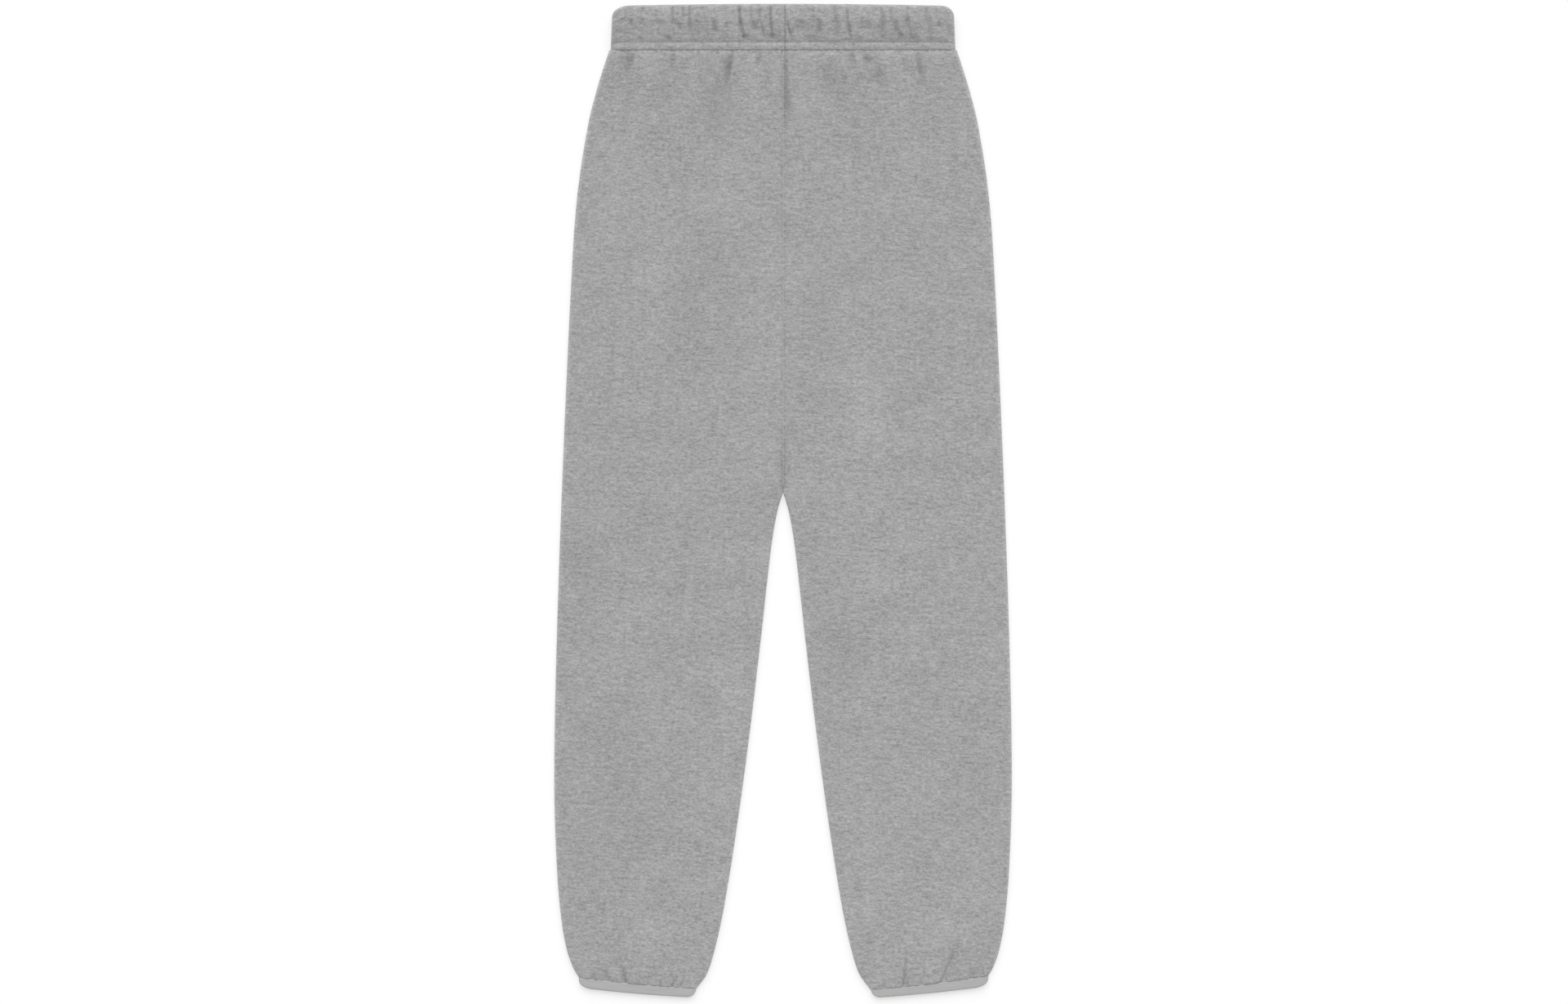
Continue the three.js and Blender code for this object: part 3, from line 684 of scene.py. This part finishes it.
def band_relief(x, down):
    """The height and painted shade of the waistband's back: creases, swellings and stitching."""
    creased = 0 * x
    for mark in BAND_CREASES:
        share = (down - mark.top) / (mark.low - mark.top)
        aside = x - mark.x - (mark.to_x - mark.x) * share
        shown = smooth(share, 0, 0.4) * (1 - smooth(share, 0.6, 1))
        creased = creased + mark.depth * shown * bump_at(aside, 0, mark.width)
    fade = 1 - STITCHED_FADE * smooth(down, STITCHED_FROM, STITCHED_TO)
    seam = bump_at(x, BAND_SEAM_AT, BAND_SEAM_WIDTH)
    rib_height, rib_middle, rib_reach, rib_pitch = BAND_RIBS
    ribs = rib_height * bump_at(down, rib_middle, rib_reach) * ripple(x, rib_pitch)
    height = BAND_PUFF + ribs - fade * creased - BAND_SEAM_DEPTH * seam
    # Painted shade in the creases and along the centre-back seam, then over the crumpled lower
    # part
    painted_shading = fade * CREASE_SHADE * creased + BAND_SEAM_SHADE * seam
    painted_shading = painted_shading + LOWER_BAND_SHADE[0] * smooth(down, *LOWER_BAND_SHADE[1:]) * fade
    for row, sunk in STITCH_ROWS:
        height = height - sunk * bump_at(down, row, STITCH_GROOVE)
    height = height - BAND_PUFF * smooth(down, STITCHED_FROM, STITCHED_TO)
    puckers = bump_at(down, STITCH_ROWS[0][0], PUCKER_REACH) * ripple(x, STITCH_PUCKERS)
    return height + PUCKER_RISE * STITCH_PUCKER_SHARE * puckers, painted_shading


def band_places():
    """Columns round the waistband's ring: how far across each starts, its face's angle, and which
    folded side it is on (1, -1, or 0 for neither)."""
    reach = BAND_HALF - BAND_ROUND
    near = SEAM_GAP / 2 + np.array(NEAR_SEAM)
    from_seam = np.arange(near[-1] + BAND_COLUMN, 2 * reach, BAND_COLUMN)
    right, left = (
        np.concatenate((near, from_seam[from_seam < reach - side * BAND_SEAM_AT]))
        for side in (1, -1)
    )
    turns = np.linspace(math.pi / 2, -math.pi / 2, BAND_TURNS)
    front = np.linspace(1, -1, FRONT_COLUMNS + 2)[1:-1] * reach
    back = math.pi / 2
    # Each stretch: its places across, the angles of its faces, which end it turns round
    stretches = (
        (BAND_SEAM_AT + right, np.full(len(right), back), 0),
        (np.full(len(turns), reach), turns, 1),
        (front, np.full(len(front), -back), 0),
        (np.full(len(turns), -reach), turns[::-1], -1),
        (BAND_SEAM_AT - left[::-1], np.full(len(left), back), 0),
    )
    x = np.concatenate([places for places, _, _ in stretches])
    angle = np.concatenate([angles for _, angles, _ in stretches])
    end = np.concatenate([np.full(len(places), side) for places, _, side in stretches])
    return x, angle, end


def band_rows(is_inner):
    """Rows of the waistband, by distance below its top edge."""
    lip = BAND_LIP * (1 - np.cos(np.linspace(LIP_FROM, math.pi / 2, LIP_ROWS)))
    if is_inner:
        body = np.linspace(BAND_LIP + BAND_INNER_FROM, BAND_DOWN, BAND_INNER_ROWS)
        return np.concatenate((lip[::3], body))
    body = np.arange(BAND_LIP + BAND_ROW, BAND_DOWN - NEAR_SEAM[-1] - BAND_ROW / 2, BAND_ROW)
    return np.concatenate((lip, body, BAND_DOWN - np.array(NEAR_SEAM[::-1])))


def band_grid(is_inner):
    """Points of the waistband's outer or inner face, in millimetres, and the painted shade
    there."""
    place, angle, end = band_places()
    row = band_rows(is_inner)[:, None]
    high, thick = along(BAND_PROFILE, row), along(BAND_PROFILE, row, 2)
    lip = np.clip(1 - row / BAND_LIP, 0, 1)
    turned_in = thick / 2 * (1 - np.sqrt(1 - lip**2))
    depth = thick - turned_in if is_inner else turned_in
    x = place + end * (BAND_ROUND - depth) * np.cos(angle)
    x = x * (1 - BAND_TAPER / BAND_HALF * (1 - row / BAND_DOWN) * np.abs(x) / BAND_HALF)
    z = high / 2 + (high / 2 - depth) * np.sin(angle)
    left, right, deep = BAND_CORNERS
    drop = BAND_BOW * (x / BAND_HALF) ** 2
    drop = drop + corner_drop(BAND_HALF - x, right, deep) + corner_drop(BAND_HALF + x, left, deep)
    down = drop + row * (1 - drop / BAND_DOWN)
    back = np.clip(np.sin(angle), 0, 1) ** 2
    relief, painted_shading = band_relief(x, row)
    if not is_inner:
        seam = rolled(np.abs(x - BAND_SEAM_AT) - SEAM_GAP / 2) * (end == 0)
        z = z + back * (relief * (1 - lip) - seam)
        z = z - np.sin(angle) * (angle > 0) * rolled(BAND_DOWN - row)
    return (x, TOP - down + 0 * x, z), back * painted_shading


def binding_grid(side_of, is_inner):
    """Points of a hem binding's outer or inner face, in millimetres."""
    inseam_row, side_row = (HEM_DOWN + hem_shift(side_of, across) for across in (0, 1))
    inseam_top = SEAM_GAP / 2 + along(INSEAM_LINE, np.array([inseam_row]))[0]
    side_top = along(SIDE_LINE, np.array([side_row]))[0]
    row = np.concatenate([np.linspace(*stretch) for stretch in BINDING_ROWS])[:, None]
    turns = np.linspace(math.pi / 2, -math.pi / 2, 2 * TURN_COLUMNS)
    flat = np.linspace(-1, 1, BINDING_COLUMNS)[1:-1]
    share = np.concatenate((flat, np.ones(len(turns)), -flat, -np.ones(len(turns)), flat[:1]))
    angle = np.concatenate((
        np.full(len(flat), math.pi / 2),
        turns,
        np.full(len(flat), -math.pi / 2),
        turns[::-1],
        (math.pi / 2,),
    ))
    end = np.where(np.abs(share) == 1, share, 0)
    inseam = inseam_top + BINDING_INSEAM_IN * row
    half = (side_top - BINDING_SIDE_IN * row - inseam) / 2
    thinner, thin_from, thin_over = BINDING_THIN_EDGE
    thin = np.clip((row - thin_from) / thin_over, 0, 1)
    edge = thinner * BINDING_WALL * (1 - np.sqrt(1 - thin**2))
    depth = BINDING_WALL - edge if is_inner else edge
    aside = share * (half - BINDING_ROUND) + end * (BINDING_ROUND - depth) * np.cos(angle)
    z = BINDING_HIGH / 2 + (BINDING_HIGH / 2 - depth) * np.sin(angle)
    across = np.clip((aside / half + 1) / 2, 0, 1)
    join = HEM_DOWN + hem_shift(side_of, across)
    wide_side, wide_inseam = BINDING_WIDTHS[side_of]
    wide = wide_inseam + (wide_side - wide_inseam) * across
    drop = corner_drop(half - aside, *BINDING_SIDE_CORNER)
    drop = drop + corner_drop(half + aside, *BINDING_INSEAM_CORNER)
    down = join + row * (wide - drop)
    return side_of * (inseam + half + aside), TOP - down, z


def add_node(tree, kind, settings=None, values=None, links=None):
    """Adds one shader node with its settings, its sockets' values and its incoming links."""
    made = tree.nodes.new(kind)
    for name, value in (settings or {}).items():
        setattr(made, name, value)
    for socket, value in (values or {}).items():
        made.inputs[socket].default_value = value
    for socket, source in (links or {}).items():
        tree.links.new(source, made.inputs[socket])
    return made


def new_material(name, roughness):
    """An empty material with a shader of that roughness: the material, its tree and shader."""
    material = bpy.data.materials.new(name)
    material.use_nodes = True
    tree = material.node_tree
    tree.nodes.clear()
    shader = add_node(tree, "ShaderNodeBsdfPrincipled", values={"Roughness": roughness})
    add_node(tree, "ShaderNodeOutputMaterial", links={"Surface": shader.outputs["BSDF"]})
    return material, tree, shader


def noise_pattern(tree, uv, long, high, detail, roughness=0.5):
    """A noise whose streaks have that length and height in metres."""
    scaled = add_node(
        tree,
        "ShaderNodeMapping",
        values={"Scale": (1 / long, 1 / high, 1)},
        links={"Vector": uv},
    )
    noise = add_node(
        tree,
        "ShaderNodeTexNoise",
        {"noise_dimensions": "2D"},
        {"Scale": 1, "Detail": detail, "Roughness": roughness},
        {"Vector": scaled.outputs["Vector"]},
    )
    return noise.outputs["Fac"]


def raise_surface(tree, shader, height, strength, distance):
    """Gives the shader fine relief from a pattern."""
    bump = add_node(
        tree,
        "ShaderNodeBump",
        values={"Strength": strength, "Distance": distance},
        links={"Height": height},
    )
    tree.links.new(bump.outputs["Normal"], shader.inputs["Normal"])


def fleece_material(settings):
    """Grey melange sweatshirt fleece, knitted from yarn that mixes dark and pale cotton: the eye
    gets short level streaks of both, a dry matt face and a faint fuzz."""
    material, tree, shader = new_material("melange_fleece", 0.95)
    uv = add_node(tree, "ShaderNodeUVMap", {"uv_map": "UVMap"}).outputs["UV"]
    total = None
    for long, high, detail, weight in MELANGE:
        pattern = noise_pattern(tree, uv, long, high, detail, MELANGE_ROUGHNESS)
        part = add_node(
            tree,
            "ShaderNodeMath",
            {"operation": "MULTIPLY_ADD"},
            {1: weight * settings.melange, 2: -0.5 * weight * settings.melange},
            {0: pattern},
        )
        if total is None:
            total = part
        else:
            total = add_node(
                tree,
                "ShaderNodeMath",
                {"operation": "ADD"},
                links={0: total.outputs[0], 1: part.outputs[0]},
            )
    share = add_node(
        tree,
        "ShaderNodeMath",
        {"operation": "ADD", "use_clamp": True},
        {1: 0.5},
        {0: total.outputs[0]},
    )
    # Painted shade and light: above 0 the attribute darkens the colour towards a dim copy of the
    # dark fibres, in creases, seams and troughs; below 0 it brightens it as painted light on
    # ridges and edges
    painted_shading = add_node(tree, "ShaderNodeAttribute", {"attribute_name": "painted_shading"})
    keep = add_node(
        tree,
        "ShaderNodeMath",
        {"operation": "MULTIPLY_ADD"},
        {1: -TROUGH_SHADE, 2: 1},
        {0: painted_shading.outputs["Fac"]},
    )
    colour = add_node(
        tree,
        "ShaderNodeMix",
        {"data_type": "RGBA"},
        {6: (*settings.dark_fibre, 1), 7: (*settings.pale_fibre, 1)},
        {0: share.outputs[0]},
    )
    shaded = add_node(
        tree,
        "ShaderNodeMix",
        {"data_type": "RGBA", "clamp_factor": False},
        {6: (*(PAINTED_SHADE_TONE * c for c in settings.dark_fibre), 1)},
        {0: keep.outputs[0], 7: colour.outputs[2]},
    )
    tree.links.new(shaded.outputs[2], shader.inputs["Base Color"])
    knit = noise_pattern(tree, uv, *KNIT)
    raise_surface(tree, shader, knit, strength=0.35, distance=0.0004)
    shader.inputs["Specular IOR Level"].default_value = 0.2
    shader.inputs["Sheen Weight"].default_value = 0.3
    shader.inputs["Sheen Roughness"].default_value = 0.6
    return material


def tape_material(settings):
    """Woven elastic tape: smooth, matt and even, with fine lines along its length."""
    material, tree, shader = new_material("woven_elastic_tape", 0.8)
    uv = add_node(tree, "ShaderNodeUVMap", {"uv_map": "UVMap"}).outputs["UV"]
    lines = noise_pattern(tree, uv, *TAPE_LINES)
    darker, paler = ((*(tone * c for c in settings.tape_colour), 1) for tone in TAPE_TONES)
    colour = add_node(
        tree,
        "ShaderNodeMix",
        {"data_type": "RGBA"},
        {6: darker, 7: paler},
        {0: lines},
    )
    tree.links.new(colour.outputs[2], shader.inputs["Base Color"])
    raise_surface(tree, shader, lines, strength=0.2, distance=0.0002)
    shader.inputs["Specular IOR Level"].default_value = 0.3
    return material


def thread_material(settings):
    """Spun polyester sewing thread in a grey near the cloth's, slightly smoother than it."""
    material, _, shader = new_material("spun_thread", 0.6)
    shader.inputs["Base Color"].default_value = (*settings.thread_colour, 1)
    return material


def material_of(name, make, settings):
    """The material of that name, made once."""
    return bpy.data.materials.get(name) or make(settings)


def on_cloth(side_of, place):
    """Where the leg on that side lies on the endless cloth."""
    return LEGS_APART * side_of + place[0], place[1]


def dress(piece, node, slot, material, **sheet):
    """Gives a piece its material and its place in the frame; what it was cut from is not used."""
    piece.data.materials.append(material)
    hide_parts(node)
    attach(piece, "root")


class ClothSettings(bpy.types.PropertyGroup):
    cloth: bpy.props.FloatProperty(
        name="Fleece thickness",
        description="Thickness of the brushed fleece",
        default=2.4 * MM,
        unit="LENGTH",
    )
    dark_fibre: bpy.props.FloatVectorProperty(
        name="Dark fibres",
        description="Colour of the melange where dark fibres gather",
        default=linear(0x848484),
        subtype="COLOR",
    )
    pale_fibre: bpy.props.FloatVectorProperty(
        name="Pale fibres",
        description="Colour of the melange where pale fibres gather",
        default=linear(0xC2C2C2),
        subtype="COLOR",
    )
    melange: bpy.props.FloatProperty(
        name="Melange",
        description="How strongly the dark and pale fibres stand apart",
        default=0.98,
        min=0,
    )
    tape_colour: bpy.props.FloatVectorProperty(
        name="Hem tape",
        description="Colour of the elastic tape at the hems",
        default=linear(0xB5B5B5),
        subtype="COLOR",
    )


class SewingSettings(bpy.types.PropertyGroup):
    pitch: bpy.props.FloatProperty(
        name="Stitch length",
        description="From one stitch of the waistband to the next",
        default=3 * MM,
        unit="LENGTH",
    )
    thread: bpy.props.FloatProperty(
        name="Thread",
        description="Diameter of the sewing thread",
        default=0.5 * MM,
        unit="LENGTH",
    )
    thread_colour: bpy.props.FloatVectorProperty(
        name="Thread colour",
        description="Colour of the sewing thread",
        default=linear(0xACACAC),
        subtype="COLOR",
    )


class StageSettings(bpy.types.PropertyGroup):
    floor_colour: bpy.props.FloatVectorProperty(
        name="Floor",
        description="Colour of the plain floor",
        default=linear(0xC8C8C8),
        subtype="COLOR",
    )
    floor_glow: bpy.props.FloatProperty(
        name="Floor glow",
        description="Light of the lit white table, which keeps the shadows faint",
        default=0.47,
        min=0,
    )
    key: bpy.props.FloatProperty(
        name="Key light",
        description="Strength of the soft light from beyond the waist",
        default=1.95,
        min=0,
    )
    ambient: bpy.props.FloatProperty(
        name="Ambient light",
        description="Brightness of the even light from all round",
        default=0.5,
        min=0,
    )
    lens: bpy.props.FloatProperty(
        name="Lens",
        description="Focal length of the camera",
        default=100 * MM,
        unit="LENGTH",
    )


class SWEATPANTS_OT_back_legs(bpy.types.Operator):
    """Make the two back leg panels with their gathers and folds"""

    bl_idname = "sweatpants.back_legs"
    bl_label = "Back legs"

    def execute(self, context):
        settings = context.scene.sweatpants_cloth
        material = material_of("melange_fleece", fleece_material, settings)
        cloth = settings.cloth / MM
        for side_name, side_of in (("left", -1), ("right", 1)):
            outer, painted_shading = leg_grid(side_of, 1, False, cloth, FLAT_COLUMNS)
            inner, _ = leg_grid(side_of, 1, True, cloth, FLAT_COLUMNS)
            place, grain = on_cloth(side_of, BACKS_ON_CLOTH), LEG_GRAIN * side_of
            name = f"cloth_back_leg_{side_name}"
            piece = shell(name, outer, inner, painted_shading, offset=place, turn=grain)
            dress(
                piece,
                f"back_leg_{side_name}",
                "fleece",
                material,
                flat=(0.26, 0.97),
                area=0.208,
                held="laid",
                rests_on=[f"front_leg_{side_name}"],
            )
        return {"FINISHED"}


class SWEATPANTS_OT_front_legs(bpy.types.Operator):
    """Make the two front leg panels, which lie flat under the back ones"""

    bl_idname = "sweatpants.front_legs"
    bl_label = "Front legs"

    def execute(self, context):
        settings = context.scene.sweatpants_cloth
        material = material_of("melange_fleece", fleece_material, settings)
        cloth = settings.cloth / MM
        for side_name, side_of in (("left", -1), ("right", 1)):
            outer, _ = leg_grid(side_of, -1, False, cloth, FRONT_COLUMNS)
            inner, _ = leg_grid(side_of, -1, True, cloth, FRONT_COLUMNS)
            place, grain = on_cloth(side_of, FRONTS_ON_CLOTH), LEG_GRAIN * side_of
            name = f"cloth_front_leg_{side_name}"
            piece = shell(name, outer, inner, offset=place, turn=grain)
            dress(
                piece,
                f"front_leg_{side_name}",
                "fleece",
                material,
                flat=(0.26, 0.97),
                area=0.206,
                held="laid",
                rests_on=["floor"],
            )
        return {"FINISHED"}


class SWEATPANTS_OT_waistband(bpy.types.Operator):
    """Make the gathered waistband and its two rows of stitching"""

    bl_idname = "sweatpants.waistband"
    bl_label = "Waistband"

    def execute(self, context):
        settings = context.scene.sweatpants_cloth
        sewing = context.scene.sweatpants_sewing
        material = material_of("melange_fleece", fleece_material, settings)
        outer, painted_shading = band_grid(False)
        inner, _ = band_grid(True)
        piece = shell("cloth_waistband", outer, inner, painted_shading, offset=BAND_ON_CLOTH)
        stitches = waist_stitches(sewing)
        stitches.data.materials.append(material_of("spun_thread", thread_material, sewing))
        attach(stitches, "root")
        dress(
            piece,
            "waistband",
            "fleece",
            material,
            flat=(0.9, 0.048),
            held="gathered",
            rests_on=["floor"],
            with_pieces=[stitches],
        )
        return {"FINISHED"}


def waist_stitches(sewing):
    """Two rows of short stitches, sunk into the waistband, all round it."""
    bm = bmesh.new()
    pitch = sewing.pitch / MM
    reach = BAND_HALF - BAND_ROUND
    count = int(reach / pitch)
    for row, _ in STITCH_ROWS:
        high = float(along(BAND_PROFILE, np.array([row]))[0])
        for i in range(-count, count + 1):
            x = (i + 0.5) * pitch
            if abs(x) > reach:
                continue
            sunk = float(band_relief(np.array([x]), np.array([row]))[0][0])
            for z, thick in (
                (high + sunk + STITCH_ABOVE, sewing.thread),
                (HIDDEN_STITCH / 2, HIDDEN_STITCH * MM),
            ):
                place = Matrix.Translation(Vector((x, TOP - row, z)) * MM)
                size = Matrix.Diagonal((0.4 * sewing.pitch, 0.5 * sewing.thread, 0.5 * thick, 1))
                bmesh.ops.create_uvsphere(
                    bm, u_segments=6, v_segments=4, radius=1, matrix=place @ size
                )
    return finished("waist_stitches", bm)


class SWEATPANTS_OT_hem_bindings(bpy.types.Operator):
    """Make the narrow elastic bindings of the two hems"""

    bl_idname = "sweatpants.hem_bindings"
    bl_label = "Hem bindings"

    def execute(self, context):
        settings = context.scene.sweatpants_cloth
        material = material_of("woven_elastic_tape", tape_material, settings)
        for side_name, side_of in (("left", -1), ("right", 1)):
            outer = binding_grid(side_of, False)
            inner = binding_grid(side_of, True)
            piece = shell(f"tape_hem_{side_name}", outer, inner, closed=True, offset=(side_of, 1))
            dress(
                piece,
                f"hem_binding_{side_name}",
                "binding",
                material,
                flat=(0.245, 0.0105),
                held="laid",
                rests_on=["floor"],
            )
        return {"FINISHED"}


class SWEATPANTS_OT_stage(bpy.types.Operator):
    """Make the plain floor, the soft light and the camera above"""

    bl_idname = "sweatpants.stage"
    bl_label = "Stage"

    def execute(self, context):
        settings = context.scene.sweatpants_stage
        scene = context.scene
        bm = bmesh.new()
        bmesh.ops.create_grid(bm, x_segments=1, y_segments=1, size=TABLE_HALF)
        floor = finished("floor", bm)
        material, _, shader = new_material("lit_white_table", 0.9)
        shader.inputs["Base Color"].default_value = (*settings.floor_colour, 1)
        shader.inputs["Specular IOR Level"].default_value = 0.1
        shader.inputs["Emission Color"].default_value = (1, 1, 1, 1)
        shader.inputs["Emission Strength"].default_value = settings.floor_glow
        floor.data.materials.append(material)
        world = bpy.data.worlds.new("studio")
        world.use_nodes = True
        background = world.node_tree.nodes["Background"]
        background.inputs["Color"].default_value = (1, 1, 1, 1)
        background.inputs["Strength"].default_value = settings.ambient
        scene.world = world
        sun = bpy.data.lights.new("key", "SUN")
        sun.energy = settings.key
        sun.angle = math.radians(LIGHT_WIDE)
        key = bpy.data.objects.new("key", sun)
        key.rotation_euler = (math.radians(LIGHT_LEANS), 0, 0)
        scene.collection.objects.link(key)
        lens = bpy.data.cameras.new("camera")
        lens.lens = settings.lens / MM
        lens.sensor_width = SENSOR / MM
        lens.clip_end = SIGHT
        camera = bpy.data.objects.new("camera", lens)
        away = PHOTO_WIDTH * settings.lens / SENSOR + PHOTO_PLANE
        camera.location = (*PHOTO_MIDDLE, away)
        scene.collection.objects.link(camera)
        scene.camera = camera
        scene.view_settings.view_transform = "Standard"
        return {"FINISHED"}


class SWEATPANTS_PT_sidebar(bpy.types.Panel):
    """Lists the pieces of the sweatpants in the 3D view's sidebar"""

    bl_idname = "SWEATPANTS_PT_sidebar"
    bl_label = "Sweatpants"
    bl_space_type = "VIEW_3D"
    bl_region_type = "UI"
    bl_category = "Sweatpants"

    def draw(self, context):
        for name in ("sweatpants_cloth", "sweatpants_sewing", "sweatpants_stage"):
            group = getattr(context.scene, name)
            box = self.layout.box()
            for entry in group.bl_rna.properties:
                if entry.identifier not in ("rna_type", "name"):
                    box.prop(group, entry.identifier)
        for operator in OPERATORS:
            self.layout.operator(operator.bl_idname)


GROUPS = {
    "sweatpants_cloth": ClothSettings,
    "sweatpants_sewing": SewingSettings,
    "sweatpants_stage": StageSettings,
}
OPERATORS = (
    SWEATPANTS_OT_stage,
    SWEATPANTS_OT_front_legs,
    SWEATPANTS_OT_back_legs,
    SWEATPANTS_OT_waistband,
    SWEATPANTS_OT_hem_bindings,
)


def register():
    for name, group in GROUPS.items():
        bpy.utils.register_class(group)
        setattr(bpy.types.Scene, name, bpy.props.PointerProperty(type=group))
    for entry in (*OPERATORS, SWEATPANTS_PT_sidebar):
        bpy.utils.register_class(entry)


def unregister():
    for entry in (SWEATPANTS_PT_sidebar, *reversed(OPERATORS)):
        bpy.utils.unregister_class(entry)
    for name, group in GROUPS.items():
        delattr(bpy.types.Scene, name)
        bpy.utils.unregister_class(group)


def main():
    """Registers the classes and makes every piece."""
    register()
    bpy.ops.sweatpants.stage()
    bpy.ops.sweatpants.front_legs()
    bpy.ops.sweatpants.back_legs()
    bpy.ops.sweatpants.waistband()
    bpy.ops.sweatpants.hem_bindings()


if __name__ == "__main__":
    main()
